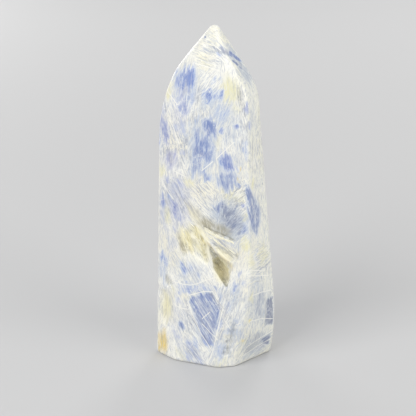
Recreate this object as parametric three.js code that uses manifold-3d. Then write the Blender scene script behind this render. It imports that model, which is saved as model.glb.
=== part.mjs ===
// A kyanite point: one stone, ground to six leaning faces under a six-sided point and polished.
// It stands on its flat sawn base. Natural hollows, where blades of the mineral broke away before
// the polishing, are left in the front, on the left edge and along the near edge.
//
// Millimetres, +Z up, the near side toward -Y. The origin is on the base, right under the point.

import * as THREE from 'three';
import { ConvexGeometry } from 'three/addons/geometries/ConvexGeometry.js';
import { mergeVertices } from 'three/addons/utils/BufferGeometryUtils.js';
import Module from 'manifold-3d';

// ---- Driving dimensions ----

const HEIGHT = 99.2; // from the base to the small flat ground on the point
const APEX = 100.8; // where the six facets of the point would meet
const INSET_HEIGHT = 70; // the height at which the insets below are measured

// The six long faces in order round the stone. Azimuths are in degrees from -Y toward +X. A face's
// reach is its distance from the axis at the base, its inset how far it leans in by INSET_HEIGHT.
// Each has a facet of the point above it, whose slope is measured from level.
const FACES = [
  { azimuth: -49, reach: 14.25, inset: 1.95, tipAzimuth: -70, tipSlope: 54.8 },
  { azimuth: -20.6, reach: 11.1, inset: 3.95, tipAzimuth: -20.6, tipSlope: 63.8 },
  { azimuth: 55.5, reach: 17.7, inset: 4.2, tipAzimuth: 60.8, tipSlope: 55.6 },
  { azimuth: 117, reach: 15.5, inset: 5.75, tipAzimuth: 118, tipSlope: 62.7 },
  { azimuth: 178.5, reach: 13.75, inset: 4.2, tipAzimuth: 175, tipSlope: 58 },
  { azimuth: 243.5, reach: 15, inset: 0.8, tipAzimuth: 235, tipSlope: 53.7 },
];

// A seventh, small facet cuts the foot of the near edge back under itself.
const FOOT_FACET = { azimuth: 42.6, reach: 12.15, undercut: 11.2, blend: 1.6 };

// How far each polished edge is rounded over, as the width of the blend between its two faces.
const LONG_EDGE_BLEND = 1.2;
const POINT_EDGE_BLEND = 0.5;
const SHOULDER_BLEND_SHARP = 1; // on the right, between the long faces and the point
const SHOULDER_BLEND_SOFT = 6.8; // on the left, which was ground much rounder
const SHOULDER_SHARP_AZIMUTH = 75;
const SHOULDER_SOFT_AZIMUTH = -60;

const BASE_EDGE = 0.3; // the ground edge round the base
const NUB_EDGE = 0.35; // the ground edge round the flat on the point

const STONE_COLOUR = 0xd9dce4;
const STONE_ROUGHNESS = 0.25;

// ---- The polished form, before the hollows ----

const UP = new THREE.Vector3(0, 0, 1);

function outward(azimuth, rise) {
  const turn = THREE.MathUtils.degToRad(azimuth);
  const lift = THREE.MathUtils.degToRad(rise);
  const level = Math.cos(lift);
  return new THREE.Vector3(Math.sin(turn) * level, -Math.cos(turn) * level, Math.sin(lift));
}

function facePlane({ azimuth, reach, inset }) {
  const lean = THREE.MathUtils.radToDeg(Math.atan(inset / INSET_HEIGHT));
  const foot = outward(azimuth, 0).multiplyScalar(reach);
  return new THREE.Plane().setFromNormalAndCoplanarPoint(outward(azimuth, lean), foot);
}

function tipPlane({ tipAzimuth, tipSlope }) {
  const apex = UP.clone().multiplyScalar(APEX);
  return new THREE.Plane().setFromNormalAndCoplanarPoint(outward(tipAzimuth, 90 - tipSlope), apex);
}

function footPlane({ azimuth, reach, undercut }) {
  const foot = outward(azimuth, 0).multiplyScalar(reach);
  return new THREE.Plane().setFromNormalAndCoplanarPoint(outward(azimuth, -undercut), foot);
}

const sidePlanes = FACES.map(facePlane);
const tipPlanes = FACES.map(tipPlane);
const footCut = footPlane(FOOT_FACET);

// The larger of two distances, rounded over where they are within the blend of each other.
function blendedMax(a, b, blend) {
  const overlap = Math.max(blend - Math.abs(a - b), 0) / blend;
  return Math.max(a, b) + (overlap * overlap * blend) / 4;
}

function shoulderBlend(azimuth) {
  const span = SHOULDER_SHARP_AZIMUTH - SHOULDER_SOFT_AZIMUTH;
  const share = THREE.MathUtils.clamp((SHOULDER_SHARP_AZIMUTH - azimuth) / span, 0, 1);
  const eased = 0.5 - 0.5 * Math.cos(Math.PI * share);
  return THREE.MathUtils.lerp(SHOULDER_BLEND_SHARP, SHOULDER_BLEND_SOFT, eased);
}

// How far a point is outside the polished stone; negative inside it.
function outside(point, azimuth) {
  const sides = sidePlanes
    .map((plane) => plane.distanceToPoint(point))
    .reduce((a, b) => blendedMax(a, b, LONG_EDGE_BLEND));
  const tips = tipPlanes
    .map((plane) => plane.distanceToPoint(point))
    .reduce((a, b) => blendedMax(a, b, POINT_EDGE_BLEND));
  const body = blendedMax(sides, tips, shoulderBlend(azimuth));
  return blendedMax(body, footCut.distanceToPoint(point), FOOT_FACET.blend);
}

function bisect(low, high, isLow) {
  for (let step = 0; step < 40; step += 1) {
    const middle = (low + high) / 2;
    if (isLow(middle)) low = middle;
    else high = middle;
  }
  return (low + high) / 2;
}

function levelPoint(azimuth, radius, z) {
  return outward(azimuth, 0).multiplyScalar(radius).setZ(z);
}

const WIDEST = 40;

function radiusAt(azimuth, z) {
  // Azimuths past the back are folded to -180..180, where the shoulder's blend is given.
  const folded = azimuth > 180 ? azimuth - 360 : azimuth;
  return bisect(0, WIDEST, (radius) => outside(levelPoint(azimuth, radius, z), folded) < 0);
}

// Distance from the axis, level, to a flat plane.
function reachOf(plane, azimuth, z) {
  const direction = outward(azimuth, 0);
  return -(plane.constant + plane.normal.z * z) / plane.normal.dot(direction);
}

function reachOfFace(index, azimuth, z) {
  return Math.min(
    reachOf(sidePlanes[index], azimuth, z),
    reachOf(tipPlanes[index], azimuth, z),
  );
}

// The azimuth of the edge between a face and the next one round, at a height.
function edgeAzimuth(index, z) {
  const next = (index + 1) % FACES.length;
  const start = FACES[index].azimuth;
  const end = FACES[next].azimuth + (next === 0 ? 360 : 0);
  return bisect(start, end, (azimuth) => (
    reachOfFace(index, azimuth, z) < reachOfFace(next, azimuth, z)
  ));
}

// ---- A grid of points over it: columns follow the leaning edges, rows the shoulder ----

// Where columns stand beside each edge, in millimetres, and between the edges, as shares.
const BESIDE_EDGE = [0, 0.45, 1.3];
const ACROSS_FACE = [0.36, 0.64];
const EDGE_SHARE = 0.22; // no column stands further from its edge than this share of the face

function columnAzimuths(z) {
  const azimuths = [];
  FACES.forEach((face, index) => {
    const before = (index + FACES.length - 1) % FACES.length;
    const start = edgeAzimuth(before, z) - (index === 0 ? 360 : 0);
    const end = edgeAzimuth(index, z);
    const span = end - start;
    const turnFor = (azimuth, offset) => {
      const turn = THREE.MathUtils.radToDeg(offset / radiusAt(azimuth, z));
      return Math.min(turn, span * EDGE_SHARE * (offset / BESIDE_EDGE.at(-1)));
    };
    BESIDE_EDGE.forEach((offset) => azimuths.push(start + turnFor(start, offset)));
    ACROSS_FACE.forEach((share) => azimuths.push(start + span * share));
    BESIDE_EDGE.slice(1).reverse().forEach((offset) => azimuths.push(end - turnFor(end, offset)));
  });
  return azimuths;
}

// The height at which a column passes from its long face to the point.
function shoulderHeight(column) {
  const lowest = 60;
  return bisect(lowest, HEIGHT, (z) => {
    const azimuth = columnAzimuths(z)[column];
    const side = Math.min(...reachesInFront(sidePlanes, azimuth, z));
    const tip = Math.min(...reachesInFront(tipPlanes, azimuth, z));
    return side < tip;
  });
}

function reachesInFront(planes, azimuth, z) {
  return planes.map((plane) => reachOf(plane, azimuth, z)).filter((reach) => reach > 0);
}

const FOOT_ROWS = [BASE_EDGE, 1.2, 2.8, 4.6, 6.4, 8.2, 10, 12, 14, 16, 18, 21, 25, 30, 35];
const MIDDLE_ROWS = [40, 45, 50, 55, 60];
const BELOW_SHOULDER = [0.25, 0.5, 0.7, 0.83, 0.93, 1];
const ABOVE_SHOULDER = [0.07, 0.17, 0.3, 0.46, 0.64, 0.82, 1];

function columnHeights(column) {
  const shoulder = shoulderHeight(column);
  const top = HEIGHT - NUB_EDGE;
  return [
    ...FOOT_ROWS,
    ...MIDDLE_ROWS,
    ...BELOW_SHOULDER.map((share) => THREE.MathUtils.lerp(MIDDLE_ROWS.at(-1), shoulder, share)),
    ...ABOVE_SHOULDER.map((share) => THREE.MathUtils.lerp(shoulder, top, share)),
  ];
}

function polishedStone() {
  const columnCount = columnAzimuths(0).length;
  const rows = [];
  for (let column = 0; column < columnCount; column += 1) {
    columnHeights(column).forEach((z, row) => {
      const azimuth = columnAzimuths(z)[column];
      const point = levelPoint(azimuth, radiusAt(azimuth, z), z);
      (rows[row] ??= []).push(point);
    });
  }
  // The base and the flat on the point are the rows next to them, drawn in by their ground edge.
  rows.unshift(rows[0].map((point) => drawnIn(point, BASE_EDGE, 0)));
  rows.push(rows.at(-1).map((point) => drawnIn(point, NUB_EDGE, HEIGHT)));

  const points = rows.flat();
  const baseCentre = points.push(new THREE.Vector3(0, 0, 0)) - 1;
  const topCentre = points.push(new THREE.Vector3(0, 0, HEIGHT)) - 1;
  const at = (row, column) => row * columnCount + (column % columnCount);
  const triangles = [];
  for (let column = 0; column < columnCount; column += 1) {
    for (let row = 0; row + 1 < rows.length; row += 1) {
      triangles.push(at(row, column), at(row, column + 1), at(row + 1, column + 1));
      triangles.push(at(row, column), at(row + 1, column + 1), at(row + 1, column));
    }
    triangles.push(baseCentre, at(0, column + 1), at(0, column));
    triangles.push(topCentre, at(rows.length - 1, column), at(rows.length - 1, column + 1));
  }
  const geometry = new THREE.BufferGeometry().setFromPoints(points);
  geometry.setIndex(triangles);
  return geometry;
}

function drawnIn(point, edge, z) {
  const radius = Math.hypot(point.x, point.y);
  const share = (radius - edge) / radius;
  return new THREE.Vector3(point.x * share, point.y * share, z);
}

// ---- The hollows, each the hull of a lip on a face and of a floor below it ----

const LEFT = 0;
const FRONT = 1;
const RIGHT = 2;
const CLEAR = 1.5; // how far a cutter stands out of the stone

// The place on a long face at an x and a height, sunk straight into the stone by a depth.
function onFace(face, x, z, depth) {
  const { normal, constant } = sidePlanes[face];
  const y = -(constant + normal.x * x + normal.z * z) / normal.y;
  return new THREE.Vector3(x, y, z).addScaledVector(normal, -depth);
}

function hollow(face, lip, floor) {
  const rim = lip.flatMap(([x, z]) => [onFace(face, x, z, 0), onFace(face, x, z, -CLEAR)]);
  const bottom = floor.map(([x, z, depth]) => onFace(face, x, z, depth));
  return new ConvexGeometry([...rim, ...bottom]);
}

// The hollow in the front: a tilted blade of the mineral crosses it from upper left to lower right.
// Above the blade the polished face rolls in to a groove, below the blade the pit is deepest.
function frontHollow() {
  const roll = hollow(
    FRONT,
    [[-4.6, 46.4], [-0.4, 46], [3.6, 43.8], [6.8, 41.2], [8, 38.6], [6.4, 35.9], [-3.1, 41.4]],
    [[-2.9, 42, 0.7], [1.2, 39.2, 0.9], [6, 36.5, 0.7]],
  );
  const groove = hollow(
    FRONT,
    [[-3.2, 43.6], [0, 42.8], [3.2, 41.1], [6.2, 38.7], [6.9, 37.2], [6.3, 35.6], [5.2, 32.7],
      [0.3, 35.9], [-2.2, 38.6], [-4.2, 41.4]],
    [[-3.1, 41.5, 1.4], [1.2, 38.8, 2], [5.9, 36, 1.6]],
  );
  const crevice = hollow(
    FRONT,
    [[-1.9, 38.9], [0.4, 35.9], [0.2, 33], [-0.7, 32.4], [-1.8, 36.2]],
    [[-1.3, 36.6, 1.6], [-0.5, 33.2, 3]],
  );
  const pit = hollow(
    FRONT,
    [[0.1, 36], [5.1, 32.7], [3.4, 25.1], [-0.3, 30.4], [-0.9, 33]],
    [[-0.2, 31.6, 3.5], [1.3, 28.4, 4], [2.6, 26.6, 2.6]],
  );
  return [roll, groove, crevice, pit];
}

// Left of the blade the hollow is a shallow, fibrous scoop with two ridges and three clefts.
function fibrousScoop() {
  const scoop = hollow(
    FRONT,
    [[-9.4, 41], [-7.2, 44.4], [-5, 45.6], [-3.4, 43], [-1.8, 36.4], [-0.6, 32.6], [-1.4, 30.9],
      [-6.6, 32.4], [-8.7, 33.3]],
    [[-8, 40, 0.45], [-5.4, 43.2, 0.45], [-3.9, 40.5, 0.6], [-2.4, 34.6, 0.7], [-3.9, 33, 0.5],
      [-7.4, 34.4, 0.45]],
  );
  const leftCleft = hollow(
    FRONT,
    [[-10, 42.4], [-9.7, 39.5], [-9.3, 36], [-8.7, 33.1], [-7.3, 33], [-7, 36.5], [-7.7, 40.3],
      [-9.2, 43]],
    [[-9.1, 40.4, 0.9], [-8.9, 37.4, 1.5], [-8.4, 34.2, 1.8]],
  );
  const middleCleft = hollow(
    FRONT,
    [[-6, 44.6], [-4.5, 44.9], [-3.3, 41], [-2.8, 37.4], [-3.6, 36.4], [-4.7, 38.2], [-5.7, 41.6]],
    [[-4.9, 42.6, 1], [-3.9, 39.4, 1.4], [-3.5, 37.8, 1.3]],
  );
  const smallCleft = hollow(
    FRONT,
    [[-4.1, 36.1], [-3, 35.8], [-1.9, 32], [-2.5, 31.4], [-3.6, 33.4]],
    [[-3.2, 34.9, 1.4], [-2.5, 32.7, 1.6]],
  );
  return [scoop, leftCleft, middleCleft, smallCleft];
}

// Low on the left a slab split off along the cleavage, under a level ledge.
function leftRecess() {
  const slab = hollow(
    LEFT,
    [[-16.6, 20.6], [-12.2, 23.2], [-12.2, 8], [-14.2, 8.2], [-16.6, 11]],
    [[-15.9, 19.9, 0.8], [-12.2, 22.6, 0.9], [-12.2, 11.5, 0.9], [-15.2, 12.2, 0.8]],
  );
  const split = hollow(
    LEFT,
    [[-14.3, 26.2], [-13.4, 26.6], [-12.2, 23.8], [-14.2, 22.6]],
    [[-13.6, 25, 1.2], [-13, 23.2, 1.6], [-13.9, 22.9, 1.2]],
  );
  const foot = hollow(
    LEFT,
    [[-16.8, 6.6], [-14.4, 7.6], [-12, 6.4], [-12, -1], [-16.8, -1]],
    [[-15.8, 5.6, 0.35], [-12, 5.2, 0.45], [-12, -1, 0.45], [-15.8, -1, 0.35]],
  );
  return [slab, split, foot];
}

// Rows of splintered fibre ends that the polish didn't reach, each row a few narrow cuts.
function splinters({ face, start, step, count, length, width, depth }) {
  const along = new THREE.Vector2(...length);
  const across = new THREE.Vector2(-along.y, along.x).setLength(width / 2);
  return Array.from({ length: count }, (_, index) => {
    const head = new THREE.Vector2(...start).addScaledVector(new THREE.Vector2(...step), index);
    const tail = head.clone().add(along);
    const lip = [
      head.clone().add(across),
      head.clone().sub(across),
      tail.clone().sub(across),
      tail.clone().add(across),
    ];
    const deepest = head.clone().addScaledVector(along, 0.35);
    return hollow(face, lip.map(({ x, y }) => [x, y]), [[deepest.x, deepest.y, depth]]);
  });
}

function splinteredPatches() {
  const besideNearEdge = splinters({
    face: FRONT,
    start: [4.7, 51.2],
    step: [1.05, 1.45],
    count: 4,
    length: [1.9, 1.5],
    width: 0.75,
    depth: 0.8,
  });
  const pitRim = splinters({
    face: FRONT,
    start: [6.2, 36.2],
    step: [-0.55, -1.9],
    count: 4,
    length: [-1.2, 0.9],
    width: 0.7,
    depth: 0.9,
  });
  const rightEdge = splinters({
    face: RIGHT,
    start: [16.4, 32.2],
    step: [0.1, -1.3],
    count: 2,
    length: [-1.4, -0.4],
    width: 0.8,
    depth: 0.5,
  });
  return [...besideNearEdge, ...pitRim, ...rightEdge];
}

// Shallow nicks in the left outline, each a little taller at the outline than on the face.
const NICK = { heights: [48.6, 43.6, 35.6], outer: -18.4, inner: -15.4, width: 1.8, depth: 0.55 };

function leftNicks() {
  const { heights, outer, inner, width, depth } = NICK;
  const narrow = width * 0.4;
  return heights.map((z) => hollow(
    LEFT,
    [[outer, z + width / 2], [inner, z + narrow / 2], [inner, z - narrow / 2], [outer, z - width / 2]],
    [[(outer + inner) / 2, z, depth]],
  ));
}

// ---- One solid ----

const wasm = await Module();
wasm.setup();

function toSolid(geometry) {
  const bare = geometry.clone();
  bare.deleteAttribute('normal');
  bare.deleteAttribute('uv');
  const merged = mergeVertices(bare, 1e-4);
  return new wasm.Manifold(new wasm.Mesh({
    numProp: 3,
    vertProperties: Float32Array.from(merged.attributes.position.array),
    triVerts: Uint32Array.from(merged.index.array),
  }));
}

function toGeometry(solid) {
  const { vertProperties, triVerts } = solid.getMesh();
  const geometry = new THREE.BufferGeometry();
  geometry.setAttribute('position', new THREE.BufferAttribute(vertProperties, 3));
  geometry.setIndex(new THREE.BufferAttribute(triVerts, 1));
  geometry.computeVertexNormals();
  return geometry;
}

const cuts = [
  ...frontHollow(),
  ...fibrousScoop(),
  ...leftRecess(),
  ...splinteredPatches(),
  ...leftNicks(),
];
const stone = cuts.reduce((solid, cut) => solid.subtract(toSolid(cut)), toSolid(polishedStone()));

const polishedKyanite = new THREE.MeshStandardMaterial({
  color: STONE_COLOUR,
  roughness: STONE_ROUGHNESS,
  metalness: 0,
});
const kyanitePoint = new THREE.Mesh(toGeometry(stone), polishedKyanite);
kyanitePoint.name = 'kyanite_point';

const model = new THREE.Group();
model.name = 'kyanite_point_model';
model.add(kyanitePoint);

export default model;
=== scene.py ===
# %% [markdown]
# # A polished kyanite point
# Kyanite grows as bundles of long flat blades, blue in the middle and pale at their edges, with mica and
# feldspar between them. A point is a rough lump of it, sawn to six sides and a six-sided tip and polished.
# The sides cut through the blades at every angle, so each facet shows lens-shaped blue patches, silky
# fibres and fine white cracks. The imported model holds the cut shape, and this lesson gives it its finish.

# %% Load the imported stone
import functools
import itertools
import math

import bmesh
import bpy
import numpy as np
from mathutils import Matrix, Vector
from mathutils.bvhtree import BVHTree


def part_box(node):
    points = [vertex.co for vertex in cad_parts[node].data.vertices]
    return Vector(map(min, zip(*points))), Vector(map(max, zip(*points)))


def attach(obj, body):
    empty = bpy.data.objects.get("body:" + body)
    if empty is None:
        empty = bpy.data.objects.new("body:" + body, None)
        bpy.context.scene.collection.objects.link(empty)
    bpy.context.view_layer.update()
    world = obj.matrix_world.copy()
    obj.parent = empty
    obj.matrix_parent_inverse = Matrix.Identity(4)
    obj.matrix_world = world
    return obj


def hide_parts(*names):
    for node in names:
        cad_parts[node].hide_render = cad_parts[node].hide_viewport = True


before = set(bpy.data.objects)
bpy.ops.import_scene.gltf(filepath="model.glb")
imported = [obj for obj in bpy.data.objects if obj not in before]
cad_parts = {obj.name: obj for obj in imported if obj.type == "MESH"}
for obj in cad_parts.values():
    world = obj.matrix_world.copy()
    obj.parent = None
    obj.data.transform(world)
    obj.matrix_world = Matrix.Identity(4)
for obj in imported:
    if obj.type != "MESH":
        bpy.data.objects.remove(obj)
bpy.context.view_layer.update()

MM = 0.001
STONE_NODE = "kyanite_point"
cad_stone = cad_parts[STONE_NODE]
box_low, box_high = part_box(STONE_NODE)
STONE_HEIGHT = (box_high.z - box_low.z) / MM
print("the stone stands", round(STONE_HEIGHT, 1), "mm high")

# %% [markdown]
# ## Where the camera stands
# The stone is seen from above its tip, a little over four stone heights away. A long lens there keeps the
# upright edges nearly parallel. The camera could be aimed with a Track To constraint, but it looks down by
# exactly the angle that it is raised by, so it needs none.

# %% The camera
CAMERA_RISE = math.radians(22)
CAMERA_REACH = 0.43
AIM_HEIGHT = 0.047
LENS_LENGTH = 130.24
SENSOR_WIDTH = 36
SIDE_SHIFT = -0.01683
LEVEL_SHIFT = -0.01327
CLEAR_FROM = 0.01


def add_object(name, data):
    """Put a camera, a lamp or a mesh in the scene."""
    made = bpy.data.objects.new(name, data)
    bpy.context.scene.collection.objects.link(made)
    return made


camera_data = bpy.data.cameras.new("view of the front")
camera_data.sensor_width = SENSOR_WIDTH
camera_data.lens = LENS_LENGTH
camera_data.shift_x = SIDE_SHIFT
camera_data.shift_y = LEVEL_SHIFT
camera_data.clip_start = CLEAR_FROM
camera = add_object("view of the front", camera_data)
camera_height = AIM_HEIGHT + CAMERA_REACH * math.sin(CAMERA_RISE)
camera.location = (0, -CAMERA_REACH * math.cos(CAMERA_RISE), camera_height)
camera.rotation_euler = (math.pi / 2 - CAMERA_RISE, 0, 0)
bpy.context.scene.camera = camera
print("the camera is", round(CAMERA_REACH / MM), "mm from the stone")

# %% [markdown]
# ## Shader helpers
# A node tree written socket by socket is long to read, so small helpers keep it short: sums, masks with soft
# edges, two textures, and colours laid over one another. A socket knows which tree it belongs to, so most
# of the helpers aren't told.

# %% Helpers for node trees
def is_socket(value):
    """Whether a value comes from a node, and isn't a plain number or colour."""
    return isinstance(value, bpy.types.NodeSocket)


def feed(value, socket):
    """Link a socket, or set a plain value."""
    if is_socket(value):
        socket.id_data.links.new(value, socket)
    else:
        socket.default_value = value


def add_node(tree, kind, values, **settings):
    """A node with its settings, and with values or links on its sockets, each by its name or number."""
    made = tree.nodes.new("ShaderNode" + kind)
    for name, setting in settings.items():
        setattr(made, name, setting)
    for socket, value in values.items():
        feed(value, made.inputs[socket])
    return made


def maths(operation, *values):
    """One Math node on sockets and plain numbers, at least one of them a socket."""
    tree = next(value.id_data for value in values if is_socket(value))
    return add_node(tree, "Math", dict(enumerate(values)), operation=operation).outputs["Value"]


def times(*values):
    """The product of sockets and numbers."""
    return functools.reduce(functools.partial(maths, "MULTIPLY"), values)


def plus(*values):
    """The sum of sockets and numbers."""
    return functools.reduce(functools.partial(maths, "ADD"), values)


def mask(value, low, high, least=0.0, most=1.0):
    """A soft step from least at low to most at high."""
    ends = {"From Min": low, "From Max": high, "To Min": least, "To Max": most}
    made = add_node(value.id_data, "MapRange", {"Value": value, **ends}, interpolation_type="SMOOTHSTEP")
    return made.outputs["Result"]


def cells(vector, feature, scale=1.0, dimensions="2D"):
    """The outputs of a Voronoi texture."""
    values = {"Vector": vector, "Scale": scale}
    settings = {"feature": feature, "voronoi_dimensions": dimensions}
    return add_node(vector.id_data, "TexVoronoi", values, **settings).outputs


def cloud(vector, scale, detail=2, roughness=0.5):
    """Soft noise from 0 to 1."""
    values = {"Vector": vector, "Scale": scale, "Detail": detail, "Roughness": roughness}
    return add_node(vector.id_data, "TexNoise", values).outputs["Fac"]


def tint(share, under, over):
    """Lay the colour over onto the colour under by its share."""
    made = add_node(share.id_data, "Mix", {"Factor": share}, data_type="RGBA")
    for value, socket in zip((under, over), [one for one in made.inputs if one.type == "RGBA"]):
        feed(value, socket)
    return [socket for socket in made.outputs if socket.type == "RGBA"][0]


def lay(under, *coats):
    """Lay colours one after another, each given as its share and the colour."""
    for share, over in coats:
        under = tint(share, under, over)
    return under


def new_finish(name):
    """A material and the sockets of its Principled shader."""
    made = bpy.data.materials.new(name)
    made.use_nodes = True
    return made, made.node_tree.nodes["Principled BSDF"].inputs


def tone(red, green, blue):
    """A colour given as a paint chart gives it, from 0 to 255, for a shader socket."""
    linear = [((value / 255 + 0.055) / 1.055) ** 2.4 for value in (red, green, blue)]
    return (*linear, 1)


print("pale blue is", [round(value, 2) for value in tone(205, 213, 228)])

# %% [markdown]
# ## Floor and light
# The stone stands on a plain pale surface. Soft light matters more than strong light here, because the
# polish mirrors whatever is bright: a large lamp up on the left lights the front, a weaker one on the right
# keeps that side from going dull, and two behind the stone draw the thin bright line along its edges.

# %% Floor and lamps
FLOOR_HALF = 1.6
FLOOR_ROUGHNESS = 0.7
FLOOR_GREY, LAMP_WHITE, ROOM_WHITE = tone(196, 197, 200), tone(255, 253, 249), tone(245, 245, 243)
ROOM_STRENGTH = 0.55

floor_mesh = bpy.data.meshes.new("floor")
floor_corners = [(x, y, box_low.z) for x in (-FLOOR_HALF, FLOOR_HALF) for y in (-FLOOR_HALF, FLOOR_HALF)]
floor_mesh.from_pydata(floor_corners, [], [(0, 2, 3, 1)])
floor = add_object("floor", floor_mesh)

floor_finish, floor_shader = new_finish("pale floor")
floor_shader["Base Color"].default_value = FLOOR_GREY
floor_shader["Roughness"].default_value = FLOOR_ROUGHNESS
floor_mesh.materials.append(floor_finish)

AIM = Vector((0, 0, AIM_HEIGHT))
# Square soft lamps that face the stone. The gloss of a lamp is how strongly the polish mirrors it.
LAMPS = {
    "window on the left": {"place": (-0.42, -0.42, 0.52), "width": 0.45, "watts": 3.3, "gloss": 1},
    "card on the right": {"place": (0.5, -0.3, 0.28), "width": 0.4, "watts": 1.7, "gloss": 0.1},
    "rim on the left": {"place": (-0.3, 0.45, 0.16), "width": 0.2, "watts": 0.7, "gloss": 1},
    "rim on the right": {"place": (0.2, 0.5, 0.3), "width": 0.2, "watts": 0.7, "gloss": 1},
}

for name, lamp in LAMPS.items():
    light = bpy.data.lights.new(name, "AREA")
    light.shape = "SQUARE"
    light.size = lamp["width"]
    light.energy = lamp["watts"]
    light.specular_factor = lamp["gloss"]
    light.color = LAMP_WHITE[:3]
    hung = add_object(name, light)
    hung.location = lamp["place"]
    hung.rotation_euler = (AIM - hung.location).to_track_quat("-Z", "Y").to_euler()

room = bpy.data.worlds.new("soft room light")
room.use_nodes = True
room_light = room.node_tree.nodes["Background"].inputs
room_light["Color"].default_value = ROOM_WHITE
room_light["Strength"].default_value = ROOM_STRENGTH
bpy.context.scene.world = room
bpy.context.scene.view_settings.view_transform = "Standard"
print(len(LAMPS), "lamps")

# %% [markdown]
# ## The skin of the stone
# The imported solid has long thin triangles, which is right for a cut stone but leaves nowhere to put fine
# detail. A voxel remesh lays an even net of squares over the same shape. It rounds the net a little, so
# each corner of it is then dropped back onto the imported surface, and the facets come out flat again.
# A square side of a third of a millimetre is about as fine as one piece may be.

# %% Remesh the stone
NET_SIDE = 0.342

skin = add_object("kyanite_point_polished", cad_stone.data.copy())
remesh = skin.modifiers.new("even net", "REMESH")
remesh.mode = "VOXEL"
remesh.voxel_size = NET_SIDE * MM
remesh.use_smooth_shade = True
net = bpy.data.meshes.new_from_object(skin.evaluated_get(bpy.context.evaluated_depsgraph_get()))
skin.modifiers.clear()
skin.data = net
skin.data.materials.clear()


def tree_of(corners, faces):
    """A search tree of a mesh's faces, in millimetres."""
    return BVHTree.FromPolygons(corners, [face.vertices[:] for face in faces])


def read_field(items, field, each=1, kind=np.int32):
    """One field of all the corners, edges or faces of a mesh as an array."""
    flat = np.empty(len(items) * each, kind)
    items.foreach_get(field, flat)
    return flat


def read_vectors(mesh, field):
    """The places, or the normals, of all the corners of a mesh as an array."""
    return read_field(mesh.vertices, field, 3, np.float32).reshape(-1, 3).astype(float)


packed_tree = tree_of([vertex.co / MM for vertex in cad_stone.data.vertices], cad_stone.data.polygons)
spots = np.array([packed_tree.find_nearest(Vector(spot))[0] for spot in read_vectors(net, "co") / MM])
print(len(spots), "corners,", len(net.polygons), "squares")

# %% [markdown]
# ## The polished envelope
# Before the hollows broke out of it the stone was a plain convex block, so the convex hull of the packed
# mesh is the plane that the grinding wheel left. The hull is the ruler for everything that follows: depths
# are measured below it, and patches of colour are laid out on it.

# %% The hull as a ruler
FAR_OUT = 200.0
SHARP_FROM = math.radians(7)

hull_mesh = bmesh.new()
hull_mesh.from_mesh(cad_stone.data)
hull_parts = bmesh.ops.convex_hull(hull_mesh, input=hull_mesh.verts)
hull_faces = [item for item in hull_parts["geom"] if isinstance(item, bmesh.types.BMFace)]
hull_mesh.verts.index_update()
hull_corners = [vertex.co / MM for vertex in hull_mesh.verts]
hull_loops = [[vertex.index for vertex in face.verts] for face in hull_faces]
hull_tree = BVHTree.FromPolygons(hull_corners, hull_loops)

sides_of_edge = {}
for face in hull_faces:
    for edge in face.edges:
        sides_of_edge.setdefault(edge, []).append(face.normal.copy())
hull_edges = []
for edge, normals in sides_of_edge.items():
    bend = normals[0].angle(normals[-1])
    if min(bend, math.pi - bend) > SHARP_FROM:
        hull_edges.append([np.array(vertex.co / MM) for vertex in edge.verts])
print(len(hull_faces), "flat faces on the hull,", len(hull_edges), "edges between facets")
hull_mesh.free()

centre = spots.mean(axis=0)


def outward_of(spot, normal):
    """A facet's normal, turned so that it points out of the stone."""
    normal = np.array(normal)
    return normal if normal @ (np.array(spot) - centre) > 0 else -normal


def from_front(tree, x, z):
    """The point of a surface that lies x across and z up, seen from the front, and its normal."""
    return tree.ray_cast(Vector((x, -FAR_OUT, z)), Vector((0, 1, 0)))[:2]


def on_front(x, z):
    """The point of the polished surface that lies x across and z up, seen from the front."""
    spot, normal = from_front(hull_tree, x, z)
    if spot is None:
        spot, normal = hull_tree.find_nearest(Vector((x, 0, z)))[:2]
    return np.array(spot), outward_of(spot, normal)


def front_line(x0, z0, x1, z1):
    """The two ends of a line on the polished surface, given across and up on the front."""
    return on_front(x0, z0)[0], on_front(x1, z1)[0]


def on_side(turn, z):
    """The point of the polished surface at height z, on the side that looks turn degrees round."""
    away = Vector((math.sin(math.radians(turn)), -math.cos(math.radians(turn)), 0))
    spot, normal = hull_tree.ray_cast(away * FAR_OUT + Vector((0, 0, z)), -away)[:2]
    return np.array(spot), outward_of(spot, normal)


# %% [markdown]
# ## Noise and soft steps for numbers
# The layout of the patches is worked out on the net's corners, with the same kind of soft noise that a
# shader has. It is a grid of fixed random numbers, smoothed between grid points, so every run of the
# script gives the same stone. Other helpers give soft steps and distances to a line.

# %% Noise on points
RANDOM_SEED = 20
# Large odd numbers scramble the number of a cell into a value that looks random.
CELL_FACTORS = (73856093, 19349663, 83492791)
SEED_FACTOR = 40503
STIR_FACTORS = (1274126177, 668265263)

# Keeps a line without length from dividing by zero.
TINY = 1e-9

draws = np.random.default_rng(RANDOM_SEED)


def soft_noise(points, seed):
    """A smooth random value from 0 to 1 at each point, with features about one unit wide."""
    floors = np.floor(points).astype(np.int64)
    parts = points - floors
    parts = parts * parts * (3 - 2 * parts)
    total = np.zeros(len(points))
    for corner in itertools.product((0, 1), repeat=3):
        cell = (floors + np.array(corner)) * np.array(CELL_FACTORS)
        mixed = cell[:, 0] ^ cell[:, 1] ^ cell[:, 2] ^ seed * SEED_FACTOR
        mixed = (mixed ^ mixed >> 13) * STIR_FACTORS[0] & 0xFFFFFFFF
        mixed = (mixed ^ mixed >> 15) * STIR_FACTORS[1] & 0xFFFFFFFF
        value = (mixed >> 8 & 0xFFFF) / 0xFFFF
        total += value * np.prod(np.where(corner, parts, 1 - parts), axis=1)
    return total


def soft_step(values, low, high):
    """0 below low, 1 above high, and a smooth climb between them."""
    share = np.clip((values - low) / (high - low), 0, 1)
    return share * share * (3 - 2 * share)


def unit(vectors):
    """The same directions, one long."""
    return vectors / np.linalg.norm(vectors, axis=-1, keepdims=True)


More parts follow.
